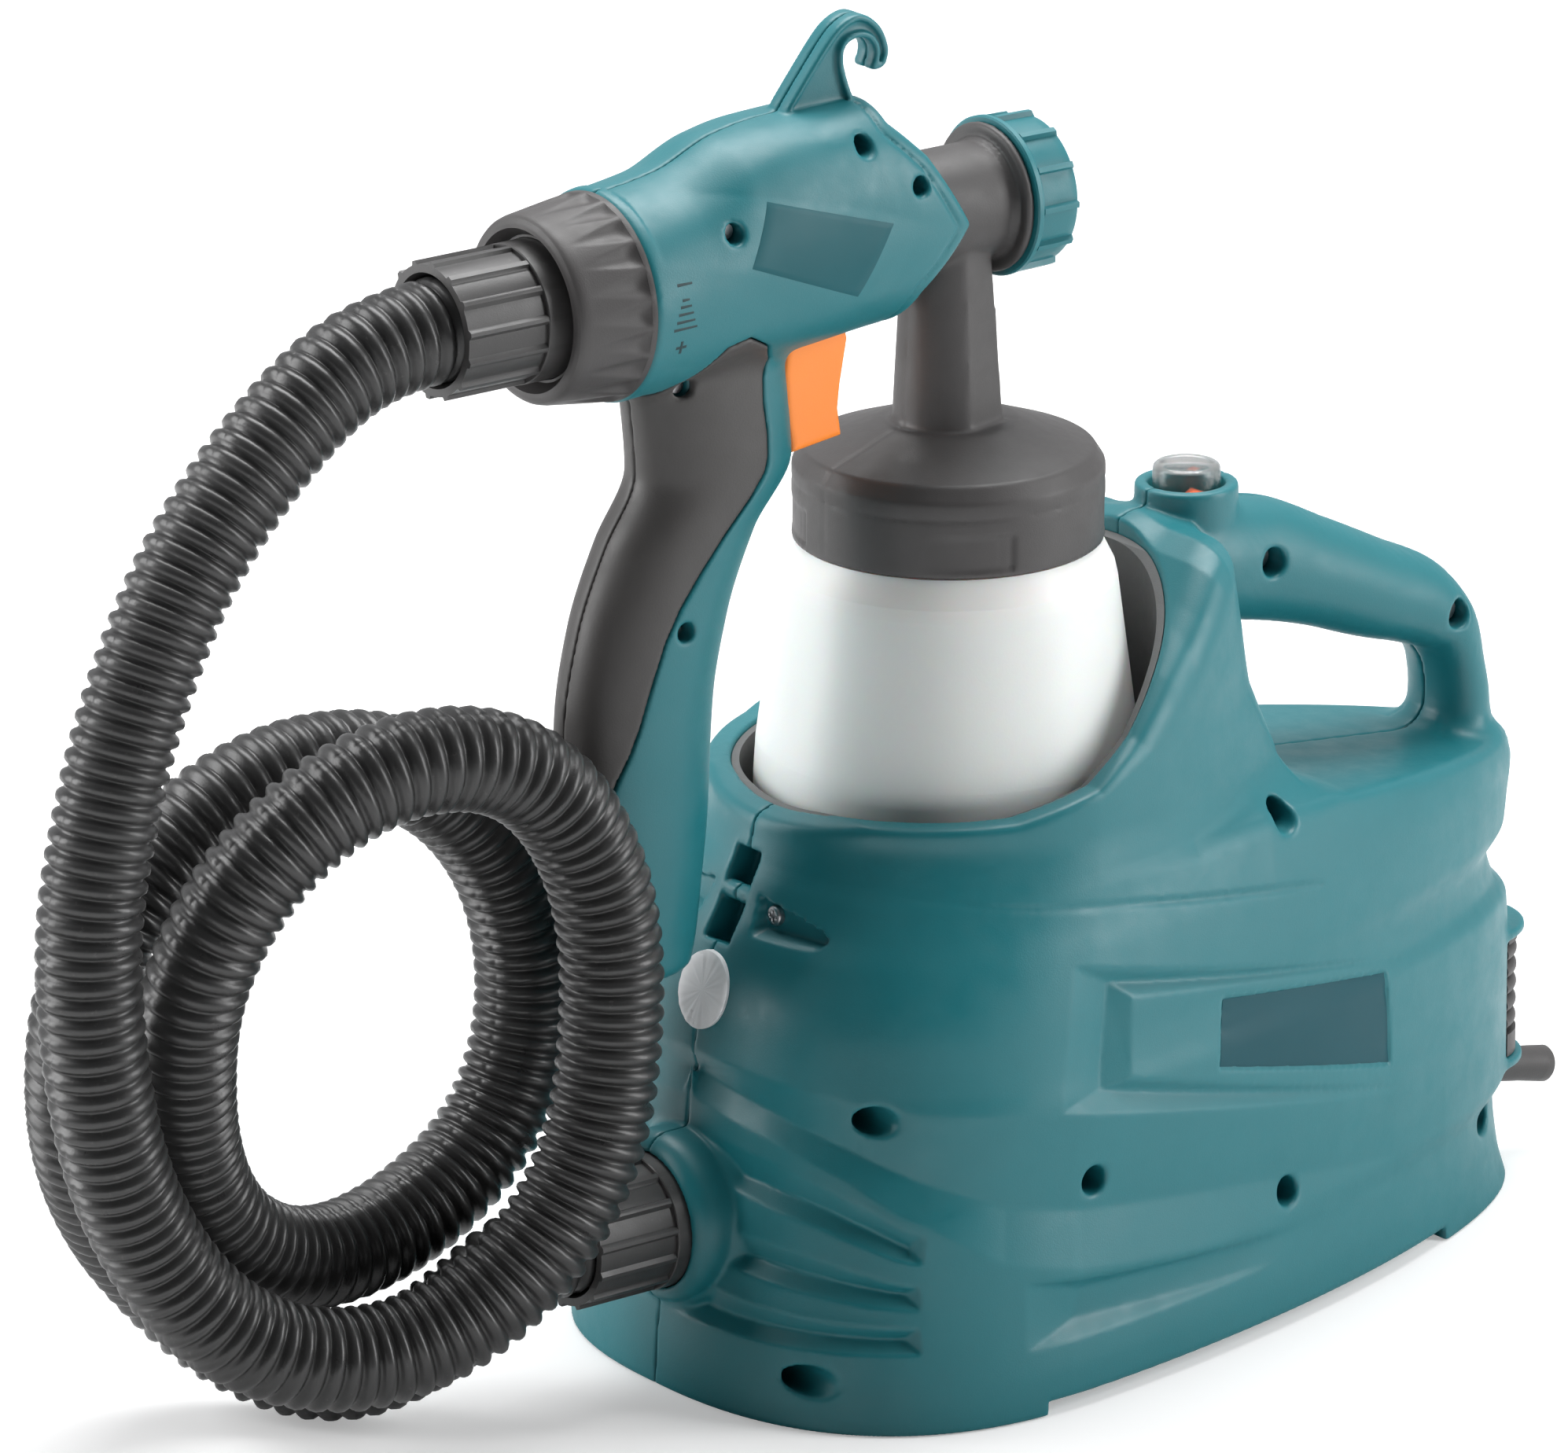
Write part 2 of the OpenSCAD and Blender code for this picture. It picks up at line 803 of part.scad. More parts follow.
// Route of the hose: down from the gun, nearly two and a half leaning turns, and on to the outlet.
// The first four points and the last four lie on the axes of the two hose ends.
step = 15;
start_x = end_gun_x + socket_depth - seat;
finish_x = end_base_x + socket_depth - seat;
lead_in = [
    [start_x + step, 0, tail_z],
    [start_x, 0, tail_z],
    [start_x - step, 0, tail_z],
    [start_x - 2 * step, 0, tail_z],
    [-209, 0, tail_z - 3.5],
    [-230, -1, 313],
    [-250, -2, 296],
    [-267, -2, 276],
    [-280, -3, 253],
    [-290, -3, 229],
    [-297, -3, 203]
];
lead_out = [
    [-233, 71, 44],
    [-215, 59, 20],
    [-196, 29, 12],
    [-177, 4, outlet_h - 19],
    [finish_x - 3 * step - 1, 2, outlet_h - 4],
    [finish_x - 2 * step, 0, outlet_h],
    [finish_x - step, 0, outlet_h],
    [finish_x, 0, outlet_h],
    [finish_x + step, 0, outlet_h]
];

// Radius and lean of the turns at every twelfth of a turn, from above the left side
turn_middle = [-214, 0, 124];
turn_step = 30;
turn_r = [
    98, 80, 75, 84, 87, 79, 73, 70, 82, 95, 89, 74, 59, 47,
    47, 57, 69, 77, 87, 85, 83, 80, 73, 67, 65, 59, 60, 67
];
turn_lean = [
    -3, -2, 4, -4, -14, -25, -29, -28, -26, -23, -20, -11, -1, 8,
    16, 21, 25, 29, 30, 30, 30, 32, 33, 34, 37, 43, 52, 66
];
// A smooth curve cuts the corners of its control points by this much
corner = 3 / (2 + cos(turn_step));
turns = [
    for (i = [0 : len(turn_r) - 1])
        let (a = turn_step * (i - 1), r = turn_r[i] * corner)
            turn_middle + [-r * cos(a), turn_lean[i], -r * sin(a)]
];

function spline_point(p, i, t) = (
    pow(1 - t, 3) * p[i]
    + (3 * pow(t, 3) - 6 * t * t + 4) * p[i + 1]
    + (-3 * pow(t, 3) + 3 * t * t + 3 * t + 1) * p[i + 2]
    + pow(t, 3) * p[i + 3]
) / 6;

function spline(p, n) = concat(
    [for (i = [0 : len(p) - 4], k = [0 : n - 1]) spline_point(p, i, k / n)],
    [spline_point(p, len(p) - 4, 1)]
);

// Distance along a line of points at each of them
function travelled(p) = [
    for (i = 0, s = 0; i < len(p); s = s + (i + 1 < len(p) ? norm(p[i + 1] - p[i]) : 0), i = i + 1) s
];

// n points at even distances along a line of points
function spaced(p, n) =
    let (
        s = travelled(p),
        total = s[len(s) - 1],
        x = [for (i = [0 : len(p) - 1]) [s[i], p[i][0]]],
        y = [for (i = [0 : len(p) - 1]) [s[i], p[i][1]]],
        z = [for (i = [0 : len(p) - 1]) [s[i], p[i][2]]]
    )
    [for (i = [0 : n - 1]) let (d = total * i / (n - 1)) [lookup(d, x), lookup(d, y), lookup(d, z)]];

function unit(v) = v / norm(v);

// Rings of k points square to a line of points; r holds one radius for each ring
function rings(p, r, k) = [
    for (i = [0 : len(p) - 1])
        let (
            ahead = unit(p[min(i + 1, len(p) - 1)] - p[max(i - 1, 0)]),
            u = unit(cross(ahead, [0, 1, 0])),
            v = cross(ahead, u)
        )
            [for (j = [0 : k - 1]) p[i] + r[i] * (cos(360 * j / k) * u + sin(360 * j / k) * v)]
];

hose_sides = 8;
ring_count = 2 * rib_count;
bore_rings = 76;
hose_line = spline(concat(lead_in, turns, lead_out), 12);

module hose() {
    k = hose_sides;
    outer = rings(
        spaced(hose_line, ring_count),
        [for (i = [0 : ring_count - 1]) i % 2 == 1 ? hose_r : hose_r - rib_depth],
        k
    );
    inner = rings(spaced(hose_line, bore_rings), [for (i = [1 : bore_rings]) hose_bore_r], k);
    base = k * ring_count;
    last = k * (ring_count - 1);
    inner_last = base + k * (bore_rings - 1);
    color(black)
        home()
            polyhedron(
                points = [for (r = concat(outer, inner)) each r],
                faces = concat(
                    [for (i = [0 : ring_count - 2]) each band(k * i, k * (i + 1), k)],
                    [for (i = [0 : bore_rings - 2], f = band(base + k * i, base + k * (i + 1), k))
                        [f[0], f[2], f[1]]],
                    [for (i = [0 : k - 1]) let (j = (i + 1) % k) each
                        [[i, j, base + j], [i, base + j, base + i]]],
                    [for (i = [0 : k - 1]) let (j = (i + 1) % k) each
                        [[last + j, last + i, inner_last + i], [last + j, inner_last + i, inner_last + j]]]
                )
            );
}

// Least gap between parts of the hose that lie side by side
function least_gap(p, apart) = min([
    for (i = [0 : 3 : len(p) - 1], j = [i + apart : 3 : len(p) - 1]) norm(p[i] - p[j])
]) - 2 * hose_r;

echo(hose_gap = least_gap(spaced(hose_line, ring_count), 27));
echo(mid_x = mid_x);
echo(hose_length = travelled(hose_line)[len(hose_line) - 1]);

// ---------- Spray gun ----------

gun_sections = [
    [tail_x, tail_z, tail_r, tail_r, 2],
    [tail_x + 20, tail_z + 2.5, tail_r + 0.4, tail_r - 1, 2.2],
    [tail_x + 40, gun_z + 2, tail_r + 2.6, tail_r - 2, 2.4],
    [tail_x + 55, gun_z + 3.2, tail_r + 3.7, tail_r - 2.5, 2.4],
    [tail_x + 90, gun_z + 4.8, tail_r + 2.8, tail_r - 4.5, 2.3],
    [tail_x + 110, gun_z + 2.5, tail_r - 1.5, tail_r - 6.5, 2.2],
    [tail_x + 122, gun_z + 1, tail_r - 8, tail_r - 9, 2]
];

grip_foot = gun_z - 206.5;
grip_top = grip_foot + 162;
grip_sections = [
    [grip_foot, -115, 16, grip_half - 2, 2.4],
    [grip_foot + 4, -114.5, 18, grip_half - 1, 2.4],
    [grip_foot + 22, -115, 22, grip_half - 1, 2.4],
    [grip_foot + 50, -114, 24.5, grip_half - 1, 2.3],
    [grip_foot + 79, -112.5, 24.5, grip_half - 0.5, 2.3],
    [grip_foot + 104, -107.5, 24.5, grip_half, 2.3],
    [grip_foot + 127, -98, 24.5, grip_half, 2.3],
    [grip_foot + 147, -86, 26, grip_half, 2.3],
    [grip_foot + 170, -88, 26, grip_half, 2.3],
    [grip_foot + 190, -90, 24, grip_half, 2.3]
];

// Outer form of half the gun, or the same form inset all round
module gun_form(inset = 0) {
    intersection() {
        skin([for (s = gun_sections) section_x(s, inset)]);
        rotate([90, 0, 0])
            linear_extrude(height = 80, center = true)
                polygon([
                    [tail_x - 1, gun_z - 54.5],
                    [tail_x - 1, gun_z + 65],
                    [-34, gun_z + 65],
                    [-34, gun_z + 33],
                    [-24, gun_z + 23],
                    [-10, gun_z + 1],
                    [-25, gun_z - 17],
                    [-40, gun_z - 54.5]
                ]);
    }
    skin([for (s = grip_sections) section_z(s, inset)]);
}

// Side view of the grey panel, with room round it
module panel_region(room = 0) {
    rotate([90, 0, 0])
        linear_extrude(height = 40)
            offset(delta = room)
                translate([0, grip_foot])
                    polygon([
                        [-94, 191],
                        [-76, 181.5],
                        [-78.5, 170],
                        [-75.5, 151],
                        [-78, 143],
                        [-97, 124],
                        [-111, 106],
                        [-118, 87],
                        [-122.5, 73],
                        [-129, 60],
                        [-136, 40],
                        [-139, 22],
                        [-160, 22],
                        [-160, 168],
                        [-122, 168],
                        [-108, 175]
                    ]);
}

gun_screw_points = [
    [-96, gun_z + 13.5, 20],
    [-29, gun_z + 15.5, 14],
    [-46, gun_z + 29, 8],
    [-104.5, gun_z - 32.5, 8],
    [-105.5, gun_z - 103.5, 8]
];
gun_screw_r = 2.2;

pin_at = [-54, gun_z + 20];
trigger_half = 8;
tail_tube_r = 22.5;
air_way_r = 12.6;

// Hollow for the trigger, its pin and its swing
module trigger_room() {
    rotate([90, 0, 0])
        linear_extrude(height = 2 * (trigger_half + free), center = true)
            polygon([
                [-78, gun_z - 66.5],
                [-78, gun_z - 31.5],
                [-70.5, gun_z - 16.5],
                [-69, gun_z - 4],
                [-64.5, gun_z + 27],
                [-41, gun_z + 27],
                [-40.5, gun_z - 36.5],
                [-38, gun_z - 66.5]
            ]);
    translate([pin_at[0], 0, pin_at[1]])
        rotate([90, 0, 0])
            cylinder(r = trigger_pin_r + running, h = 2 * (trigger_half + 4), center = true, $fn = 32);
}

module gun_bores() {
    along_x(tail_x - 1)
        translate([-tail_z, 0, 0])
            cylinder(r = tail_tube_r + seat, h = 28, $fn = 64);
    along_x(tail_x)
        translate([-tail_z - 1, 0, 0])
            cylinder(r = air_way_r, h = 95, $fn = 64);
    along_x(-34 - seat)
        translate([-gun_z, 0, 0])
            cylinder(r = barrel_r + seat, h = 50, $fn = 64);
}

// Hook on the crown of the gun: half its thickness lies on each side of the parting plane
hook_outer = [
    [-66, gun_z + 30],
    [-62.6, gun_z + 37.4],
    [-55.5, gun_z + 46.2],
    [-46.4, gun_z + 57.2],
    [-41.9, gun_z + 60.9],
    [-36.2, gun_z + 62.8],
    [-31.6, gun_z + 61.1],
    [-27.6, gun_z + 57.4],
    [-25.4, gun_z + 52.4],
    [-25.1, gun_z + 49.5],
    [-26.2, gun_z + 45.9],
    [-29.9, gun_z + 45],
    [-31.8, gun_z + 46],
    [-29.9, gun_z + 49.4],
    [-30.2, gun_z + 52.2],
    [-32.8, gun_z + 55.2],
    [-37.3, gun_z + 55.7],
    [-40.7, gun_z + 54],
    [-41.4, gun_z + 50.1],
    [-40.3, gun_z + 45.2],
    [-37.6, gun_z + 38.1],
    [-34, gun_z + 33],
    [-34, gun_z + 29]
];

module hook() {
    rotate([90, 0, 0])
        difference() {
            linear_extrude(height = hook_thick / 2)
                polygon(hook_outer);
            translate([0, 0, hook_thick / 2 - 1.6])
                linear_extrude(height = 2)
                    polygon([
                        [-58, gun_z + 39.5],
                        [-44.5, gun_z + 56],
                        [-44.6, gun_z + 48.5],
                        [-42.5, gun_z + 41]
                    ]);
        }
}

module gun_shell_half() {
    difference() {
        union() {
            gun_form();
            hook();
        }
        difference() {
            panel_region(seat);
            gun_form(panel_wall + seat);
        }
        gun_bores();
        trigger_room();
        skin([
            for (s = grip_sections)
                if (s[0] > grip_foot && s[0] < grip_top)
                    section_z(s, panel_wall + shell_wall + 1)
        ]);
        for (p = gun_screw_points)
            translate([p[0], -p[2], p[1]])
                rotate([90, 0, 0])
                    cylinder(r = gun_screw_r + 0.6, h = 40);
    }
}

module gun_shell_near() {
    color(teal)
        home()
            gun_shell_half();
}

module gun_shell_far() {
    color(teal)
        home()
            mirror([0, 1, 0])
                gun_shell_half();
}

module grip_half_panel() {
    difference() {
        intersection() {
            gun_form();
            panel_region();
        }
        gun_form(panel_wall);
        gun_bores();
        for (p = gun_screw_points)
            translate([p[0], -p[2], p[1]])
                rotate([90, 0, 0])
                    cylinder(r = gun_screw_r + 0.6, h = 40);
    }
}

module grip_near() {
    color(charcoal)
        home()
            grip_half_panel();
}

module grip_far() {
    color(charcoal)
        home()
            mirror([0, 1, 0])
                grip_half_panel();
}

module gun_screws() {
    color(steel)
        home()
            for (p = gun_screw_points)
                translate([p[0], -p[2], p[1]])
                    rotate([90, 0, 0])
                        cylinder(r = gun_screw_r, h = 2, $fn = 24);
}

// ---------- Airflow collar and tail ----------

tail_end = end_gun_x + hose_end_len + plug_len;

module airflow_collar() {
    lip = 3.5;
    color(charcoal)
        home()
            along_x(collar_x)
                translate([-tail_z, 0, 0])
                    difference() {
                        rotate_extrude($fn = 96)
                            polygon([
                                [hose_end_r + 1, 0],
                                [collar_tip_r - 1.6, 0],
                                [collar_tip_r, 1.4],
                                [collar_tip_r + 0.4, 4.5],
                                [collar_r - 0.6, collar_len - 6],
                                [collar_r, collar_len - 1.5],
                                [collar_r - 1, collar_len - 0.3],
                                [tail_tube_r + 0.1, collar_len - 0.3],
                                [tail_tube_r + 0.1, lip],
                                [hose_end_r + 1, lip]
                            ]);
                        for (i = [0 : flute_count - 1])
                            rotate([0, 0, 360 / flute_count * i])
                                translate([collar_r + 2.4, 0, collar_len - 7])
                                    rotate([0, -7, 0])
                                        translate([0, 0, -13])
                                            cylinder(r = 3.4, h = 26, $fn = 24);
                    }
}

module air_tail() {
    socket_end = tail_end + seat;
    color(black)
        home()
            along_x(collar_x + 4)
                translate([-tail_z, 0, 0])
                    difference() {
                        cylinder(r = tail_tube_r, h = 26 - collar_x - 4 + tail_x, $fn = 64);
                        translate([0, 0, -eps])
                            cylinder(r = hose_end_r + seat, h = socket_end - collar_x - 4, $fn = 64);
                        cylinder(r = air_way_r, h = 80, $fn = 64);
                    }
}

// ---------- Trigger and needle ----------

needle_r = 1.5;
// The trigger's fork passes the needle and pulls on the collar behind it
needle_slot = 4;
needle_collar = [-64.6, 3.6];
trigger_boss_r = 5.5;

module trigger() {
    color(orange)
        home()
            difference() {
                rotate([90, 0, 0])
                    linear_extrude(height = 2 * trigger_half, center = true)
                        polygon(concat(
                            [
                                [-62, gun_z - 61],
                                [-65.3, gun_z - 37.5],
                                [-62.8, gun_z - 12],
                                [-62.8, gun_z + 7]
                            ],
                            [for (a = [170 : -10 : 10]) pin_at + trigger_boss_r * [cos(a), sin(a)]],
                            [
                                [-46, gun_z - 12],
                                [-42, gun_z - 30.5],
                                [-44.5, gun_z - 43.5],
                                [-45.3, gun_z - 50.5],
                                [-44, gun_z - 58.8]
                            ]
                        ));
                translate([-80, -needle_slot / 2, gun_z - needle_slot])
                    cube([60, needle_slot, 2 * needle_slot]);
                translate([pin_at[0], 0, pin_at[1]])
                    rotate([90, 0, 0])
                        cylinder(r = trigger_pin_r + running, h = 30, center = true, $fn = 32);
            }
}

module trigger_pin() {
    color(steel)
        home()
            translate([pin_at[0], 0, pin_at[1]])
                rotate([90, 0, 0])
                    cylinder(r = trigger_pin_r, h = 2 * (trigger_half + 3.5), center = true, $fn = 32);
}

needle_tip = 27;
module needle() {
    color(steel)
        home()
            along_x(0)
                translate([-gun_z, 0, 0])
                    rotate_extrude($fn = 32)
                        polygon([
                            [0, -86],
                            [needle_r, -86],
                            [needle_r, needle_collar[0] - 3],
                            [needle_collar[1], needle_collar[0] - 3],
                            [needle_collar[1], needle_collar[0] + 1.5],
                            [needle_r, needle_collar[0] + 1.5],
                            [needle_r, needle_tip - 6],
                            [0.4, needle_tip],
                            [0, needle_tip]
                        ]);
}

spring_turns = 7;
spring_wire = 0.5;
module trigger_spring() {
    n = spring_turns * 10;
    coil_r = 2.9;
    coil_len = 13;
    coil_x = needle_collar[0] - 3.4 - spring_wire;
    line = [
        for (i = [0 : n])
            [coil_x - coil_len * i / n, coil_r * cos(36 * i), gun_z + coil_r * sin(36 * i)]
    ];
    k = 6;
    coil = [
        for (i = [0 : n])
            let (
                out = [0, cos(36 * i), sin(36 * i)],
                side = [1, 0, 0]
            )
                [for (j = [0 : k - 1]) line[i] + spring_wire * (cos(60 * j) * out + sin(60 * j) * side)]
    ];
    color(steel)
        home()
            skin(coil);
}

module needle_gland() {
    color([0.8, 0.65, 0.3])
        home()
            along_x(-20)
                translate([-gun_z, 0, 0])
                    difference() {
                        union() {
                            cylinder(r = 5, h = 8, $fn = 6);
                            translate([0, 0, 8])
                                cylinder(r = 3, h = 6, $fn = 32);
                        }
                        translate([0, 0, -1])
                            cylinder(r = needle_r + running, h = 16, $fn = 32);
                    }
}

// ---------- Spray head ----------

stem_x = -1;
flange_x = 12;
lid_roof = 4.8;

module spray_head() {
    color(charcoal)
        home()
            difference() {
                union() {
                    along_x(-34)
                        translate([-gun_z, 0, 0])
                            difference() {
                                union() {
                                    cylinder(r = barrel_r, h = 34 + flange_x, $fn = 64);
                                    translate([0, 0, 34 + flange_x - 0.5])
                                        cylinder(r = nut_r - 1.6, h = 2.5, $fn = 64);
                                    cylinder(r = 17.6, h = 34 + flange_x + 9, $fn = 64);
                                }
                                translate([0, 0, -1])
                                    cylinder(r = barrel_r - 4.2, h = 80, $fn = 64);
                                difference() {
                                    translate([0, 0, -1])
                                        cylinder(r = 30, h = 34 + flange_x, $fn = 64);
                                    translate([0, 0, -2])
                                        cylinder(r = barrel_r, h = 60, $fn = 64);
                                }
                            }
                    along_x(-12)
                        translate([-gun_z, 0, 0])
                            cylinder(r = 6.5, h = 12 + flange_x + 1, $fn = 48);
                    translate([stem_x - 5, -4, gun_z - barrel_r + 2])
                        cube([10, 8, barrel_r - 4]);
                    difference() {
                        union() {
                            translate([stem_x, 0, lid_z + lid_h + 2])
                                cylinder(r1 = 16, r2 = 12.5, h = axis_rise - 6, $fn = 64);
                            rotate([90, 0, 0])
                                linear_extrude(height = 24, center = true)
                                    polygon([
                                        [stem_x, lid_z + lid_h + 4],
                                        [flange_x, lid_z + lid_h + 4],
                                        [flange_x - 4.5, gun_z - 12],
                                        [stem_x, gun_z - 12]
                                    ]);
                        }
                        along_x(-34)
                            translate([-gun_z, 0, 0])
                                cylinder(r = barrel_r - 1, h = 70, $fn = 64);
                    }
                    translate([0, 0, lid_z])
                        rotate_extrude($fn = 96)
                            polygon([
                                [0, lid_h - lid_roof],
                                [lid_r - 2.6, lid_h - lid_roof],
                                [lid_r - 2.6, 0],
                                [lid_r - 0.5, 0],
                                [lid_r, 0.5],
                                [lid_r, lid_h],
                                [lid_r - 3, lid_h + 4.7],
                                [20, lid_h + 12.5],
                                [0, lid_h + 13.5]
                            ]);
                }
                translate([stem_x, 0, lid_z])
                    cylinder(r = 2.6, h = lid_h + axis_rise, $fn = 32);
                translate([stem_x, 0, lid_z])
                    cylinder(r = 4 + running, h = lid_h + 16, $fn = 32);
                along_x(-13)
                    translate([-gun_z, 0, 0])
                        cylinder(r = 3 + running, h = 40, $fn = 32);
            }
}

neck_r = lid_r - 2.6 - free;
mouth = 15;

module cup() {
    color(milky)
        home()
            translate([0, 0, cup_z])
                rotate_extrude($fn = 96)
                    difference() {
                        polygon(concat(
                            [[0, 0]],
                            [for (a = [0 : 15 : 90]) [cup_r - 8 + 6 * sin(a), 6 - 6 * cos(a)]],
                            [
                                [cup_r, cup_h * 0.37],
                                [cup_r, cup_h * 0.4],
                                [cup_r - 0.7, cup_h * 0.49],
                                [cup_shoulder_r, cup_h * 0.9],
                                [cup_shoulder_r - 0.8, cup_h * 0.93],
                                [lid_r - 1, cup_h - 0.3],
                                [neck_r, cup_h - 0.3],
                                [neck_r, cup_h + mouth],
                                [0, cup_h + mouth]
                            ]
                        ));
                        polygon(concat(
                            [[-1, cup_wall]],
                            [for (a = [0 : 15 : 90])
                                [cup_r - 8 + (6 - cup_wall) * sin(a), 6 - (6 - cup_wall) * cos(a)]],
                            [
                                [cup_r - cup_wall, cup_h * 0.37],
                                [cup_r - cup_wall, cup_h * 0.4],
                                [cup_r - 0.7 - cup_wall, cup_h * 0.48],
                                [cup_shoulder_r - cup_wall, cup_h * 0.89],
                                [neck_r - cup_wall, cup_h - 2.5],
                                [neck_r - cup_wall, cup_h + mouth + 1],
                                [-1, cup_h + mouth + 1]
                            ]
                        ));
                    }
}

module cup_gasket() {
    color([0.9, 0.88, 0.8])
        home()
            translate([0, 0, lid_z + mouth + 0.1])
                difference() {
                    cylinder(r = neck_r, h = lid_h - lid_roof - mouth - 0.2, $fn = 96);
                    translate([0, 0, -1])
                        cylinder(r = neck_r - 5, h = 10, $fn = 96);
                }
}

module pickup_tube() {
    color([0.85, 0.85, 0.83])
        home()
            translate([stem_x, 0, cup_z + 5])
                difference() {
                    cylinder(r = 4, h = lid_z + lid_h + 14 - cup_z - 5, $fn = 32);
                    translate([0, 0, -1])
                        cylinder(r = 2.6, h = 200, $fn = 32);
                }
}

module fluid_nozzle() {
    color([0.8, 0.65, 0.3])
        home()
            along_x(flange_x + 1)
                translate([-gun_z, 0, 0])
                    difference() {
                        union() {
                            translate([0, 0, -8])
                                cylinder(r = 3, h = 9, $fn = 32);
                            cylinder(r = 7, h = 5, $fn = 6);
                            translate([0, 0, 5])
                                cylinder(r1 = 5, r2 = 2.6, h = 9, $fn = 48);
                        }
                        translate([0, 0, -9])
                            cylinder(r = needle_r + 0.4, h = 40, $fn = 32);
                    }
}

nut_x = flange_x + 2.2;
nut_bars = 12;

module nozzle_nut() {
    color(teal)
        home()
            along_x(nut_x)
                translate([-gun_z, 0, 0])
                    difference() {
                        union() {
                            cylinder(r1 = nut_r - 1, r2 = nut_r - 1.8, h = nut_len, $fn = 64);
                            cylinder(r = nut_r, h = 2, $fn = 64);
                            for (i = [0 : nut_bars - 1])
                                rotate([0, 0, 360 / nut_bars * i])
                                    translate([0, -2.2, 0])
                                        cube([nut_r - 0.3, 4.4, nut_len]);
                        }
                        translate([0, 0, -1])
                            cylinder(r = 17.6 + running, h = nut_len - 2, $fn = 64);
                        cylinder(r = 14, h = nut_len + 1, $fn = 64);
                    }
}

module air_cap() {
    color([0.92, 0.92, 0.93])
        home()
            along_x(nut_x + 8)
                translate([-gun_z, 0, 0])
                    difference() {
                        union() {
                            cylinder(r = 17, h = 4.6, $fn = 64);
                            cylinder(r = 13.6, h = nut_len - 7.5, $fn = 64);
                            for (side = [-1, 1])
                                hull() {
                                    translate([side * 8, 0, nut_len - 8])
                                        cylinder(r = 4, h = 1, $fn = 24);
                                    translate([side * 7, 0, nut_len - 3.5])
                                        cylinder(r = 2.2, h = 1, $fn = 24);
                                }
                        }
                        translate([0, 0, -1])
                            cylinder(r = 11, h = 5, $fn = 48);
                        cylinder(r = 3.2, h = 40, $fn = 48);
                    }
}

housing_near();
housing_far();
well_liner();
housing_screws();
switch_body();
switch_rocker();
switch_cap();
filter_cover();
air_filter();
fan_housing();
impeller();
motor();
motor_shaft();
cord_sleeve();
hose();
hose_end_base();
hose_end_gun();
gun_shell_near();
gun_shell_far();
grip_near();
grip_far();
gun_screws();
airflow_collar();
air_tail();
trigger();
trigger_pin();
trigger_spring();
needle();
needle_gland();
spray_head();
cup();
cup_gasket();
pickup_tube();
fluid_nozzle();
nozzle_nut();
air_cap();
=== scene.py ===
import math

import bpy
import numpy as np
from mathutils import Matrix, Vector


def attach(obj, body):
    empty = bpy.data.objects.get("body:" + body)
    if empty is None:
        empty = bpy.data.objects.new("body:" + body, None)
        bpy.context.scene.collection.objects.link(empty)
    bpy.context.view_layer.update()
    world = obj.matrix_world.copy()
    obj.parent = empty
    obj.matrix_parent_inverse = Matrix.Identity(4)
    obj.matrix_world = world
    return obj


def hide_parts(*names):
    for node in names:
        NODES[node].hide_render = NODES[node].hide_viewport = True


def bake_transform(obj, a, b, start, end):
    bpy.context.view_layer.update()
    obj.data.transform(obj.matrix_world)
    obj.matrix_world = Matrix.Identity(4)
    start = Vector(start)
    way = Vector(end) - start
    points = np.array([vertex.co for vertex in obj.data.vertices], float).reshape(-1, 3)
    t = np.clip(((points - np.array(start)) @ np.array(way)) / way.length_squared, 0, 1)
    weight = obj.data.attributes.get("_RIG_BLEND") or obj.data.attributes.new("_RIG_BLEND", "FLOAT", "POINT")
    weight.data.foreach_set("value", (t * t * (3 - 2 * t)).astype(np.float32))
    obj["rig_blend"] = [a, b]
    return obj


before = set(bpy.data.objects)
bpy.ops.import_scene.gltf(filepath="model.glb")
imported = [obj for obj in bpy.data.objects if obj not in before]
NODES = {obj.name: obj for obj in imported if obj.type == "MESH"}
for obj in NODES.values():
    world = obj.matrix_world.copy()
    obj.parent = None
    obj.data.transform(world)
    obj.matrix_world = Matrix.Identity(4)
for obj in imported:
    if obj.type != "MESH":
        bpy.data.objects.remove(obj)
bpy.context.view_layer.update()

import openvdb
from mathutils import Vector

MM = 0.001
MID = 40.7434          # cup axis to the middle of the footprint, mm
GUN_Z = 334.5          # height of the spray axis
TAIL_Z = 329.5         # height of the collar's axis
OUTLET_Z = 51.0        # height of the air outlet
FOOT_FRONT, FOOT_REAR, FOOT_HALF = 107.5, 207.0, 87.0
SHROUD_R = 71.0
RIM_FRONT, RIM_BACK, DECK = 165.0, 229.0, 148.0
LINER_R, WELL_FLOOR = 62.2, 115.0
COLLAR_X, TAIL_X = -150.0, -125.0
HOSE_END_LEN, HOSE_END_R = 29.0, 20.0
HOSE_R = 15.0
SEAM = 0.07            # half of the gap between the two moulded halves
END_GUN_X = COLLAR_X - HOSE_END_LEN - 3           # open mouths of the hose's two connectors
END_BASE_X = -FOOT_FRONT - 2 - HOSE_END_LEN
HOSE_SEAT = 27.0       # from a connector's mouth to the ledge where the hose's end sits
HOSE_BORE_R = 11.2
SWITCH_X = 88.0        # axis of the column that carries the switch
SLEEVE_X, SLEEVE_Z, SLEEVE_TILT = 200.0, 31.0, math.radians(12)
PIN_X, PIN_Z = -54.0, 354.5
STEM_X = -1.0          # axis of the paint's way up from the cup


def place(points):
    """Millimetres from the cup's axis to metres in the part's frame."""
    p = np.array(points, float).reshape(-1, 3)
    return (p - [MID, 0, 0]) * MM


def add(name, data):
    """A new object in the scene for a mesh, a lamp or a camera."""
    o = bpy.data.objects.new(name, data)
    bpy.context.scene.collection.objects.link(o)
    return o


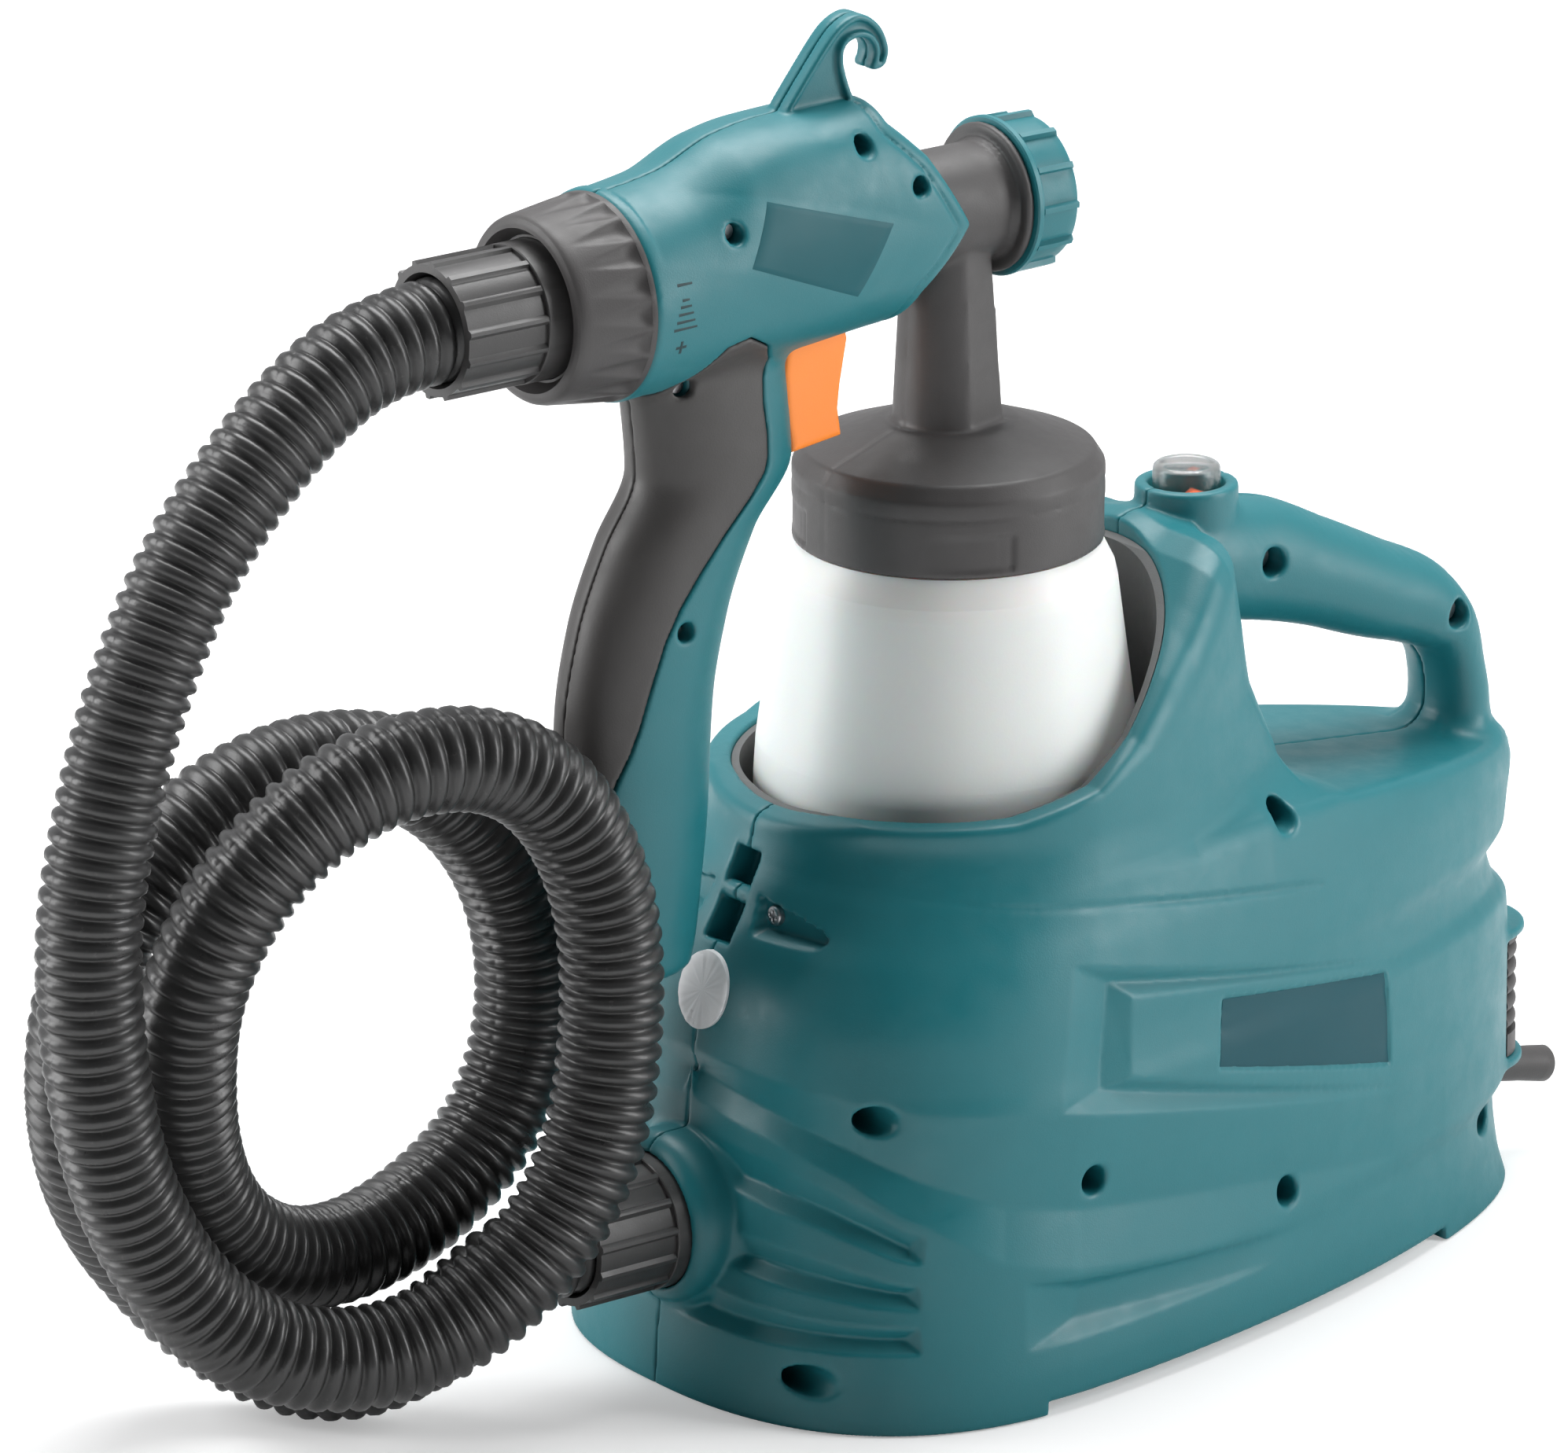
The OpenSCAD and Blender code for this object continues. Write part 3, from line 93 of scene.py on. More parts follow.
# ---------------------------------------------------------------- camera

AZIMUTH, ELEVATION, DISTANCE = math.radians(-37.3), math.radians(18.3), 3.5
BACK = Vector((
    math.sin(AZIMUTH) * math.cos(ELEVATION),
    -math.cos(AZIMUTH) * math.cos(ELEVATION),
    math.sin(ELEVATION),
))
RIGHT = Vector((math.cos(AZIMUTH), math.sin(AZIMUTH), 0))
TARGET = Vector(place([-59.16, 0, 189.92])[0])
SENSOR, LENS = 36.0, 281.8

camera = add("camera", bpy.data.cameras.new("camera"))
camera.location = TARGET + BACK * DISTANCE
camera.rotation_mode = "QUATERNION"
camera.rotation_quaternion = (-BACK).to_track_quat("-Z", "Y")
camera.data.sensor_width = SENSOR
camera.data.lens = LENS
camera.data.clip_start, camera.data.clip_end = 0.1, 100
bpy.context.scene.camera = camera


# ---------------------------------------------------------------- materials

def srgb(r, g, b):
    """A colour as it looks on a screen, 0 to 255, in linear light."""
    def lin(c):
        c = c / 255
        return c / 12.92 if c <= 0.04045 else ((c + 0.055) / 1.055) ** 2.4
    return (lin(r), lin(g), lin(b), 1.0)


def bare_tree(owner):
    """The node tree of a material or a world, emptied."""
    owner.use_nodes = True
    owner.node_tree.nodes.clear()
    return owner.node_tree


def node(tree, kind, x=0, y=0, **values):
    """A node at a place in the tree; each value goes to the input or the property of that name."""
    n = tree.nodes.new(kind)
    n.location = (x, y)
    for k, v in values.items():
        if k in n.inputs:
            n.inputs[k].default_value = v
        else:
            setattr(n, k, v)
    return n


def link(tree, source, out, target, into):
    """Joins an output to an input, each given by its name or number."""
    tree.links.new(source.outputs[out], target.inputs[into])


def remap(tree, x, y, *ends):
    """A node that turns one range of values into another, from their four ends."""
    sockets = ("From Min", "From Max", "To Min", "To Max")
    return node(tree, "ShaderNodeMapRange", x, y, **dict(zip(sockets, ends)))


def noise(tree, where, y, **values):
    """Noise in the object's own space."""
    n = node(tree, "ShaderNodeTexNoise", -700, y, **values)
    link(tree, where, "Object", n, "Vector")
    return n


def mix(tree, x, second, first=None):
    """A mix of two colours; a first colour that isn't given is linked in."""
    n = node(tree, "ShaderNodeMix", x, 250, data_type="RGBA")
    n.inputs[7].default_value = second
    if first:
        n.inputs[6].default_value = first
    return n


def surface_colour(tree, where, color, mottle, wear, dust):
    """The node whose output is the colour: a broad mottle, rubbed edges and specks of dust."""
    dark = [c * (1 - mottle) for c in color[:3]] + [1]
    pale = [min(1, c * (1 + mottle) + 0.002) for c in color[:3]] + [1]
    rubbed = [min(1, c * 1.7 + 0.03) for c in color[:3]] + [1]
    broad = noise(tree, where, 200, Scale=28.0, Detail=5.0, Roughness=0.6)
    base = mix(tree, -300, pale, dark)
    link(tree, broad, "Fac", base, 0)
    geometry = node(tree, "ShaderNodeNewGeometry", -700, 450)
    edge = remap(tree, -450, 450, 0.52, 0.60, 0.0, wear)
    link(tree, geometry, "Pointiness", edge, "Value")
    worn = mix(tree, 0, rubbed)
    link(tree, edge, "Result", worn, 0)
    link(tree, base, 2, worn, 6)
    if not dust:
        return worn
    specks = noise(tree, where, 700, Scale=420.0, Detail=3.0, Roughness=0.7)
    few = remap(tree, -450, 700, 0.62, 0.74, 0.0, dust)
    link(tree, specks, "Fac", few, "Value")
    dusty = mix(tree, 200, (0.35, 0.34, 0.32, 1))
    link(tree, few, "Result", dusty, 0)
    link(tree, worn, 2, dusty, 6)
    return dusty


def material(name, color, rough, grain=0.15, grain_size=0.5, mottle=0.06, rough_spread=0.08,
             wear=0.25, dust=0.0, **shader):
    """A moulded or machined surface: colour mottle, lighter worn edges, fine grain and uneven gloss.
    grain_size is in millimetres; what shader names is set on the Principled node's own sockets."""
    m = bpy.data.materials.new(name)
    t = bare_tree(m)
    out = node(t, "ShaderNodeOutputMaterial", 900)
    p = node(t, "ShaderNodeBsdfPrincipled", 600)
    for k, v in shader.items():
        p.inputs[k.replace("_", " ")].default_value = v
    where = node(t, "ShaderNodeTexCoord", -900)
    link(t, surface_colour(t, where, color, mottle, wear, dust), 2, p, "Base Color")
    gloss = noise(t, where, -400, Scale=90.0, Detail=6.0, Roughness=0.65)
    spread = remap(t, -300, -400, 0.3, 0.7, max(0.02, rough - rough_spread), min(1, rough + rough_spread))
    link(t, gloss, "Fac", spread, "Value")
    link(t, spread, "Result", p, "Roughness")
    fine = noise(t, where, -100, Scale=1000.0 / grain_size, Detail=2.0, Roughness=0.55)
    bump = node(t, "ShaderNodeBump", 200, -150, Strength=grain, Distance=0.0001)
    link(t, fine, "Fac", bump, "Height")
    link(t, bump, "Normal", p, "Normal")
    link(t, p, "BSDF", out, "Surface")
    return m


TEAL = material("teal_moulded", srgb(24, 108, 116), 0.42, grain=0.35, grain_size=0.45, wear=0.22)
CHARCOAL = material("charcoal_moulded", srgb(66, 64, 64), 0.5, grain=0.5, grain_size=0.5, wear=0.2)
GRIP = material("grip_moulded", srgb(64, 62, 61), 0.5, grain=0.5, grain_size=0.6, wear=0.15)
LINER = material("liner_moulded", srgb(84, 86, 86), 0.55, grain=0.4, wear=0.2)
HOSE_BLACK = material("hose_black", srgb(46, 46, 46), 0.34, grain=0.3, grain_size=0.8, mottle=0.2,
                      wear=0.12, dust=0.1)
END_BLACK = material("connector_black", srgb(58, 57, 57), 0.36, grain=0.3, grain_size=0.5, wear=0.25,
                     dust=0.06)
ORANGE = material("trigger_orange", srgb(255, 140, 48), 0.42, grain=0.3, mottle=0.04, wear=0.15)
ROCKER = material("rocker_orange", srgb(236, 96, 34), 0.3, grain=0.15, wear=0.15)
CUP_WHITE = material("cup_white", srgb(232, 229, 227), 0.42, grain=0.25, grain_size=0.7, mottle=0.02,
                     wear=0.0, Subsurface_Weight=0.25, Subsurface_Scale=0.01)
CAP_WHITE = material("cap_white", srgb(232, 232, 236), 0.3, grain=0.15, mottle=0.03, wear=0.0)
CLEAR = material("clear_cap", srgb(238, 236, 234), 0.06, grain=0.06, mottle=0.02, rough_spread=0.03,
                 wear=0.0, Transmission_Weight=1.0, IOR=1.3, Alpha=0.6)
STEEL = material("steel_zinc", srgb(176, 176, 178), 0.32, grain=0.3, grain_size=0.3, wear=0.3, Metallic=1.0)
BRASS = material("brass_turned", srgb(206, 172, 96), 0.3, grain=0.25, grain_size=0.3, wear=0.2, Metallic=1.0)
FAN_METAL = material("fan_metal", srgb(196, 196, 200), 0.38, grain=0.3, grain_size=0.5, Metallic=1.0)
MOTOR_CAN = material("motor_can", srgb(96, 98, 104), 0.4, grain=0.3, Metallic=0.6)
FOAM = material("filter_foam", srgb(48, 48, 50), 0.95, grain=1.0, grain_size=1.6, mottle=0.5, wear=0.0)
GREY = material("grey_moulded", srgb(132, 132, 136), 0.5, grain=0.4, wear=0.2)
TUBE = material("tube_moulded", srgb(222, 222, 218), 0.35, grain=0.2, wear=0.0)
RUBBER = material("seal_rubber", srgb(226, 222, 204), 0.7, grain=0.4, wear=0.0)
GUN_LABEL = material("gun_label_face", srgb(14, 84, 92), 0.4, grain=0.08, mottle=0.05, rough_spread=0.04,
                     wear=0.0, Specular_IOR_Level=0.22)
BASE_LABEL = material("base_label_face", srgb(3, 70, 80), 0.4, grain=0.08, mottle=0.05, rough_spread=0.04,
                      wear=0.0, Specular_IOR_Level=0.25)
MARK = material("engraved_mark", srgb(10, 50, 54), 0.6, grain=0.3, wear=0.0)
SILVER = material("seal_silver", srgb(232, 233, 234), 0.3, grain=0.1, grain_size=0.4, mottle=0.03,
                  rough_spread=0.05, wear=0.0, Metallic=0.1)


# ---------------------------------------------------------------- mesh tools

def smooth_mesh(name, verts, faces, mat, sharp=None):
    """A mesh from points in metres, smooth but for edges sharper than an angle in degrees."""
    mesh = bpy.data.meshes.new(name)
    mesh.from_pydata(verts, [], faces)
    mesh.validate()
    mesh.polygons.foreach_set("use_smooth", [True] * len(mesh.polygons))
    if sharp is not None:
        mesh.set_sharp_from_angle(angle=math.radians(sharp))
    mesh.materials.append(mat)
    return mesh


def piece(name, verts, faces, body, mat, stands_for=(), sharp=None):
    """A mesh from points in millimetres, riding on a CAD body."""
    faces = faces if isinstance(faces, list) else faces.tolist()
    o = add(name, smooth_mesh(name, place(verts), faces, mat, sharp))
    if body:
        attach(o, body)
    if stands_for:
        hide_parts(*stands_for)
    return o


class Block:
    """A box of sample points, in millimetres from the cup's axis."""

    def __init__(self, lo, hi, cell):
        cell = cell
        self.lo, self.cell = np.array(lo, float), cell
        x, y, z = (np.arange(a, b + cell, cell, dtype=np.float32) for a, b in zip(lo, hi))
        self.x, self.y, self.z = x[:, None, None], y[None, :, None], z[None, None, :]
        self.shape = (len(x), len(y), len(z))

    def level(self, f):
        """Turns any smooth function that is 0 on a surface into a distance close to that surface."""
        f = np.broadcast_to(f, self.shape).astype(np.float32)
        g = np.gradient(f, self.cell)
        return f / np.maximum(np.sqrt(g[0] ** 2 + g[1] ** 2 + g[2] ** 2), 1e-4)

    def side(self, points, cuts=0):
        """Distance to an outline drawn in side view, X and Z."""
        return outline(self.x[:, 0, :], self.z[0], cut_corners(points, cuts))[:, None, :]

    def front(self, points, cuts=0):
        """Distance to an outline drawn from the front, Y and Z."""
        return outline(self.y[0], self.z[0], cut_corners(points, cuts))[None, :, :]

    def from_x(self, z):
        """Distance from an axis along X at a height."""
        return np.sqrt(self.y ** 2 + (self.z - z) ** 2)

    def from_y(self, x, z):
        """Distance from an axis along Y."""
        return np.sqrt((self.x - x) ** 2 + (self.z - z) ** 2)

    def from_z(self, x):
        """Distance from an upright axis in the parting plane."""
        return np.sqrt((self.x - x) ** 2 + self.y ** 2)


def cut_corners(points, cuts):
    """The outline with its corners cut, so that it comes near a smooth curve."""
    for _ in range(cuts):
        p = np.array(points, float)
        q = np.roll(p, -1, axis=0)
        points = np.stack([p * 0.75 + q * 0.25, p * 0.25 + q * 0.75], 1).reshape(-1, 2).tolist()
    return points


def outline(u, v, points):
    """Signed distance to a closed outline, less than 0 inside."""
    u, v = np.broadcast_arrays(u, v)
    d = np.full(u.shape, 1e9, np.float32)
    inside = np.zeros(u.shape, bool)
    for (x0, y0), (x1, y1) in zip(points, points[1:] + points[:1]):
        ex, ey = x1 - x0, y1 - y0
        along = np.clip(((u - x0) * ex + (v - y0) * ey) / (ex * ex + ey * ey + 1e-9), 0, 1)
        d = np.minimum(d, (u - x0 - along * ex) ** 2 + (v - y0 - along * ey) ** 2)
        if y0 != y1:
            inside ^= ((y0 > v) != (y1 > v)) & (u < ex * (v - y0) / ey + x0)
    return np.where(inside, -1, 1) * np.sqrt(d)


def union(a, b, k=0.0):
    """Both shapes together, with the corner between them rounded over about k."""
    if np.max(k) <= 0:
        return np.minimum(a, b)
    h = np.clip(0.5 + 0.5 * (b - a) / k, 0, 1)
    return b + (a - b) * h - k * h * (1 - h)


def common(a, b, k=0.0):
    """What both shapes share, with the edge between them rounded over about k."""
    return -union(-a, -b, k)


def less(a, b, k=0.0):
    """What is left of a when b is cut away, with edges rounded over about k."""
    return common(a, -b, k)


def flow(v, at, values):
    """A smooth curve through values at stations, without overshoot."""
    at, values = np.array(at, float), np.array(values, float)
    d = np.diff(values) / np.diff(at)
    m = np.zeros_like(values)
    same = d[:-1] * d[1:] > 0
    m[1:-1][same] = 2 * d[:-1][same] * d[1:][same] / (d[:-1] + d[1:])[same]
    m[0], m[-1] = d[0], d[-1]
    i = np.clip(np.searchsorted(at, v) - 1, 0, len(at) - 2)
    h = at[i + 1] - at[i]
    s = np.clip((v - at[i]) / h, 0, 1)
    return ((1 + 2 * s) * (1 - s) ** 2 * values[i] + s * (1 - s) ** 2 * h * m[i]
            + s * s * (3 - 2 * s) * values[i + 1] + s * s * (s - 1) * h * m[i + 1]).astype(np.float32)


def rows(table, v):
    """Each column of a table of stations, as a smooth function of v."""
    at = [r[0] for r in table]
    return [flow(v, at, [r[k] for r in table]) for k in range(1, len(table[0]))]


def sample(b, field, points):
    """The field at points in millimetres, between its samples."""
    q = (points - b.lo) / b.cell
    i = np.clip(np.floor(q).astype(int), 0, np.array(b.shape) - 2)
    f = q - i
    total = 0
    for dx in (0, 1):
        for dy in (0, 1):
            for dz in (0, 1):
                w = (np.where(dx, f[:, 0], 1 - f[:, 0]) * np.where(dy, f[:, 1], 1 - f[:, 1])
                     * np.where(dz, f[:, 2], 1 - f[:, 2]))
                total = total + w * field[i[:, 0] + dx, i[:, 1] + dy, i[:, 2] + dz]
    return total


def surface(b, field, relax=2):
    """Points and four-sided faces of the surface where the field is 0."""
    field = np.ascontiguousarray(np.broadcast_to(field, b.shape), dtype=np.float32).copy()
    for axis in range(3):
        edge = [slice(None)] * 3
        for end in (0, -1):
            edge[axis] = end
            field[tuple(edge)] = np.maximum(field[tuple(edge)], 0.3 * b.cell)
    grid = openvdb.FloatGrid(4.0)
    grid.copyFromArray(np.clip(field, -4, 4))
    points, quads = grid.convertToQuads(0.0)
    points = points.astype(float)
    quads = quads.astype(np.int64)
    a, c, d = points[quads[:, 0]], points[quads[:, 1]], points[quads[:, 2]]
    if np.einsum("ij,ij->i", a, np.cross(c, d)).sum() < 0:
        quads = quads[:, ::-1]
    points = points * b.cell + b.lo
    # the points are spread evenly and drawn back onto the surface
    pairs = np.concatenate([quads[:, [0, 1]], quads[:, [1, 2]], quads[:, [2, 3]], quads[:, [3, 0]]])
    count = np.bincount(pairs[:, 0], minlength=len(points)).astype(float)
    step = 0.5 * b.cell
    for _ in range(relax):
        mean = np.stack([np.bincount(pairs[:, 0], points[pairs[:, 1], k], len(points)) for k in range(3)], 1)
        points = 0.5 * points + 0.5 * mean / count[:, None]
        value = sample(b, field, points)
        slope = np.stack([
            sample(b, field, points + step * e) - sample(b, field, points - step * e) for e in np.eye(3)
        ], 1) / (2 * step)
        size = np.maximum((slope ** 2).sum(1), 0.25)
        points -= np.clip(value / size, -b.cell, b.cell)[:, None] * slope
    return points, quads


def solid(name, b, field, body, mat, stands_for=(), mirror=False, light=1.0):
    """A piece from the surface of a field; light is the share of its faces that is kept."""
    points, quads = surface(b, field)
    if mirror:
        points = points * [1, -1, 1]
        quads = quads[:, ::-1]
    o = piece(name, points, quads, body, mat, stands_for)
    if light < 1:
        fewer = o.modifiers.new("fewer_faces", "DECIMATE")
        fewer.ratio = light
    return o


def near_map(b, field):
    """How far out the near side's surface lies, for each X and Z of the block."""
    hit = field < 0
    first = np.argmax(hit, axis=1)
    first = np.clip(first, 1, None)
    i, k = np.indices(first.shape)
    f0, f1 = field[i, first - 1, k], field[i, first, k]
    t = np.clip(f0 / np.where(np.abs(f0 - f1) < 1e-6, 1e-6, f0 - f1), 0, 1)
    return b.lo[1] + (first - 1 + t) * b.cell


def between(grid, i, k):
    """A grid's values between its samples, at indices with fractions."""
    i0, k0 = i.astype(int), k.astype(int)
    u, v = (i - i0).astype(i.dtype), (k - k0).astype(k.dtype)
    return ((1 - u) * (1 - v) * grid[i0, k0] + u * (1 - v) * grid[i0 + 1, k0]
            + (1 - u) * v * grid[i0, k0 + 1] + u * v * grid[i0 + 1, k0 + 1])


def sheet_faces(n):
    """Faces of a closed thin sheet: two grids of n by n cells and the rim between them."""
    m = n + 1
    cells = [(a * m + c, (a + 1) * m + c, (a + 1) * m + c + 1, a * m + c + 1)
             for a in range(n) for c in range(n)]
    border = ([(a, 0) for a in range(n)] + [(n, a) for a in range(n)]
              + [(a, n) for a in range(n, 0, -1)] + [(0, a) for a in range(n, 0, -1)])
    ring = [a * m + c for a, c in border]
    faces = [tuple(reversed(f)) for f in cells] + [tuple(i + m * m for i in f) for f in cells]
    return faces + [(p, q, q + m * m, p + m * m) for p, q in zip(ring, ring[1:] + ring[:1])]


def plate(name, b, depth_map, corners, lift, thick, body, mat, n=24):
    """A thin plate that lies on the near side between four corners given in side view."""
    s, t = np.meshgrid(np.linspace(0, 1, n + 1), np.linspace(0, 1, n + 1), indexing="ij")
    c = np.array(corners, float)
    xz = ((1 - s)[..., None] * (1 - t)[..., None] * c[0] + s[..., None] * (1 - t)[..., None] * c[1]
          + s[..., None] * t[..., None] * c[2] + (1 - s)[..., None] * t[..., None] * c[3])
    y = between(depth_map, (xz[..., 0] - b.lo[0]) / b.cell, (xz[..., 1] - b.lo[2]) / b.cell)
    rim = np.minimum(np.minimum(s, 1 - s), np.minimum(t, 1 - t)) < 1e-6
    outer = np.stack([xz[..., 0], y - lift + np.where(rim, 0.35 * thick, 0), xz[..., 1]], -1)
    inner = np.stack([xz[..., 0], y - lift + thick, xz[..., 1]], -1)
    verts = np.concatenate([outer.reshape(-1, 3), inner.reshape(-1, 3)])
    faces = sheet_faces(n)
    a, second, third = (verts[i] for i in faces[0][:3])
    if np.cross(second - a, third - a)[1] > 0:
        faces = [tuple(reversed(f)) for f in faces]
    return piece(name, verts, faces, body, mat, sharp=40)


def turned(name, axis_at, direction, profile, body, mat, stands_for=(), n=96, wave=None, sharp=40,
           steps=1):
    """A lathe-like form: a closed profile of (distance along the axis, radius), turned about an axis that
    lies in the parting plane. wave(along, radius, angle) may change the radius, for bars and flutes."""
    prof = []
    for (a0, r0), (a1, r1) in zip(profile, profile[1:] + profile[:1]):
        for s in range(steps):
            prof.append((a0 + (a1 - a0) * s / steps, r0 + (r1 - r0) * s / steps))
    angle = np.radians(np.linspace(0, 360, n + 1))[:n]
    w = np.array(direction, float) / np.linalg.norm(direction)
    u = np.cross(w, [0, 1, 0])
    u /= np.linalg.norm(u)
    v = np.cross(w, u)
    verts, faces = [], []
    for i, (along, radius) in enumerate(prof):
        r = np.full(n, radius, float)
        if wave is not None:
            r = wave(along, r, angle)
        verts.append(np.array(axis_at) + along * w + r[:, None] * (np.cos(angle)[:, None] * u
                                                                 + np.sin(angle)[:, None] * v))
        j = (i + 1) % len(prof)
        for a in range(n):
            c = (a + 1) % n
            faces.append((i * n + a, i * n + c, j * n + c, j * n + a))
    verts = np.concatenate(verts)
    q = np.array(faces)
    rel = verts - verts.mean(0)
    if np.einsum("ij,ij->i", rel[q[:, 0]], np.cross(rel[q[:, 1]], rel[q[:, 2]])).sum() < 0:
        faces = [tuple(reversed(f)) for f in faces]
    return piece(name, verts, faces, body, mat, stands_for, sharp)


def off_line(angle, count, shift, radius):
    """Distance round, at a radius, from the nearest of count evenly spaced lines along an axis."""
    return np.abs((np.degrees(angle) + shift) % (360 / count) - 180 / count) * math.pi / 180 * radius


# ---------------------------------------------------------------- hose

STEP = 0.015
START_X = (END_GUN_X + HOSE_SEAT - 0.2) * MM
FINISH_X = (END_BASE_X + HOSE_SEAT - 0.2) * MM
AXIS_GUN, AXIS_BASE = TAIL_Z * MM, OUTLET_Z * MM
LEAD_IN = [
    (START_X + STEP, 0, AXIS_GUN), (START_X, 0, AXIS_GUN), (START_X - STEP, 0, AXIS_GUN),
    (START_X - 2 * STEP, 0, AXIS_GUN), (-0.209, 0, AXIS_GUN - 0.0035), (-0.230, -0.001, 0.313),
    (-0.250, -0.002, 0.296), (-0.267, -0.002, 0.276), (-0.280, -0.003, 0.253),
    (-0.290, -0.003, 0.229), (-0.297, -0.003, 0.203),
]
LEAD_OUT = [
    (-0.233, 0.071, 0.044), (-0.215, 0.059, 0.020), (-0.196, 0.029, 0.012),
    (-0.177, 0.004, AXIS_BASE - 0.019), (FINISH_X - 3 * STEP - 0.001, 0.002, AXIS_BASE - 0.004),
    (FINISH_X - 2 * STEP, 0, AXIS_BASE), (FINISH_X - STEP, 0, AXIS_BASE), (FINISH_X, 0, AXIS_BASE),
    (FINISH_X + STEP, 0, AXIS_BASE),
]
# the standing turns: their middle, and radius and sideways lean every TURN_STEP degrees
TURN_MIDDLE = (-0.214, 0.0, 0.124)
TURN_STEP = 30
TURN_R = [
    0.098, 0.080, 0.075, 0.084, 0.087, 0.079, 0.073, 0.070, 0.082, 0.095, 0.089, 0.074, 0.059, 0.047,
    0.047, 0.057, 0.069, 0.077, 0.087, 0.085, 0.083, 0.080, 0.073, 0.067, 0.065, 0.059, 0.060, 0.067,
]
TURN_LEAN = [
    -0.003, -0.002, 0.004, -0.004, -0.014, -0.025, -0.029, -0.028, -0.026, -0.023, -0.020, -0.011,
    -0.001, 0.008, 0.016, 0.021, 0.025, 0.029, 0.030, 0.030, 0.030, 0.032, 0.033, 0.034, 0.037, 0.043,
    0.052, 0.066,
]
RIB_PITCH = 0.0054
RIB_ROOT = 12.9
# one rib, as (share of the pitch, radius): a narrow valley, a steep flank and a rounded crest
RIB = [(0.0, 13.05), (0.1, 13.3), (0.2, 14.1), (0.33, 14.8), (0.5, HOSE_R), (0.67, 14.8), (0.8, 14.1),
       (0.9, 13.3)]
# points round the hose, closer together at the two mould seams that run the length of it
SEAM_ANGLES = [(side + off) % 360 for side in (0, 180) for off in (-5, -2, 2, 5)]
HOSE_ANGLES = sorted([*range(15, 166, 15), *range(195, 346, 15), *SEAM_ANGLES])
SEAM_NOTCH = 0.28
# metres of hose that follow the gun fully, and metres over which that fades out
FOLLOW_FULL, FOLLOW_FADE = 0.03, 0.46


def hose_line():
    """The hose's centreline from the gun to the base, in metres, with its distance along."""
    corner = 3 / (2 + math.cos(math.radians(TURN_STEP)))
    turns = []
    for i, (r, lean) in enumerate(zip(TURN_R, TURN_LEAN)):
        a = math.radians(TURN_STEP * (i - 1))
        turns.append((TURN_MIDDLE[0] - r * corner * math.cos(a), lean,
                      TURN_MIDDLE[2] - r * corner * math.sin(a)))
    p = np.array(LEAD_IN + turns + LEAD_OUT)
    t = np.linspace(0, 1, 40, endpoint=False)[:, None]
    parts = []
    for i in range(len(p) - 3):
        parts.append((p[i] * (1 - t) ** 3 + p[i + 1] * (3 * t ** 3 - 6 * t * t + 4)
                      + p[i + 2] * (-3 * t ** 3 + 3 * t * t + 3 * t + 1) + p[i + 3] * t ** 3) / 6)
    line = np.concatenate(parts + [(p[-4:-3] + 4 * p[-3:-2] + p[-2:-1]) / 6])
    along = np.concatenate([[0], np.cumsum(np.linalg.norm(np.diff(line, axis=0), axis=1))])
    return line - [MID * MM, 0, 0], along


def rib_rings(length):
    """Distance along and radius of each ring of points on the ribbed outside, in metres."""
    ribs = int(round(length / RIB_PITCH))
    s, radius = [0.0], [RIB_ROOT]
    for i in range(ribs):
        for u, r in RIB:
            at = (i + u) * length / ribs
            if at > 1e-5:
                s.append(at)
                radius.append(r)
    return np.array(s + [length]), np.array(radius + [RIB_ROOT]) * MM


def across_line(ahead):
    """Two directions across a line at each of its points, which don't twist along it."""
    u = np.zeros_like(ahead)
    u[0] = np.cross(ahead[0], [0, 1, 0])
    for i in range(1, len(ahead)):
        w = u[i - 1] - ahead[i] * (u[i - 1] @ ahead[i])
        u[i] = w / np.linalg.norm(w)
    return u, np.cross(ahead, u)


def ring_points(centre, u, v, angle, radius):
    """Rings of points round a line's points."""
    return centre[:, None] + radius * (np.cos(angle)[None, :, None] * u[:, None]
                                       + np.sin(angle)[None, :, None] * v[:, None])


def tube_faces(count, k):
    """Faces of an open tube of count rings with k points each."""
    i, a = np.meshgrid(np.arange(count - 1), np.arange(k), indexing="ij")
    c = (a + 1) % k
    return np.stack([i * k + a, i * k + c, (i + 1) * k + c, (i + 1) * k + a], -1).reshape(-1, 4)


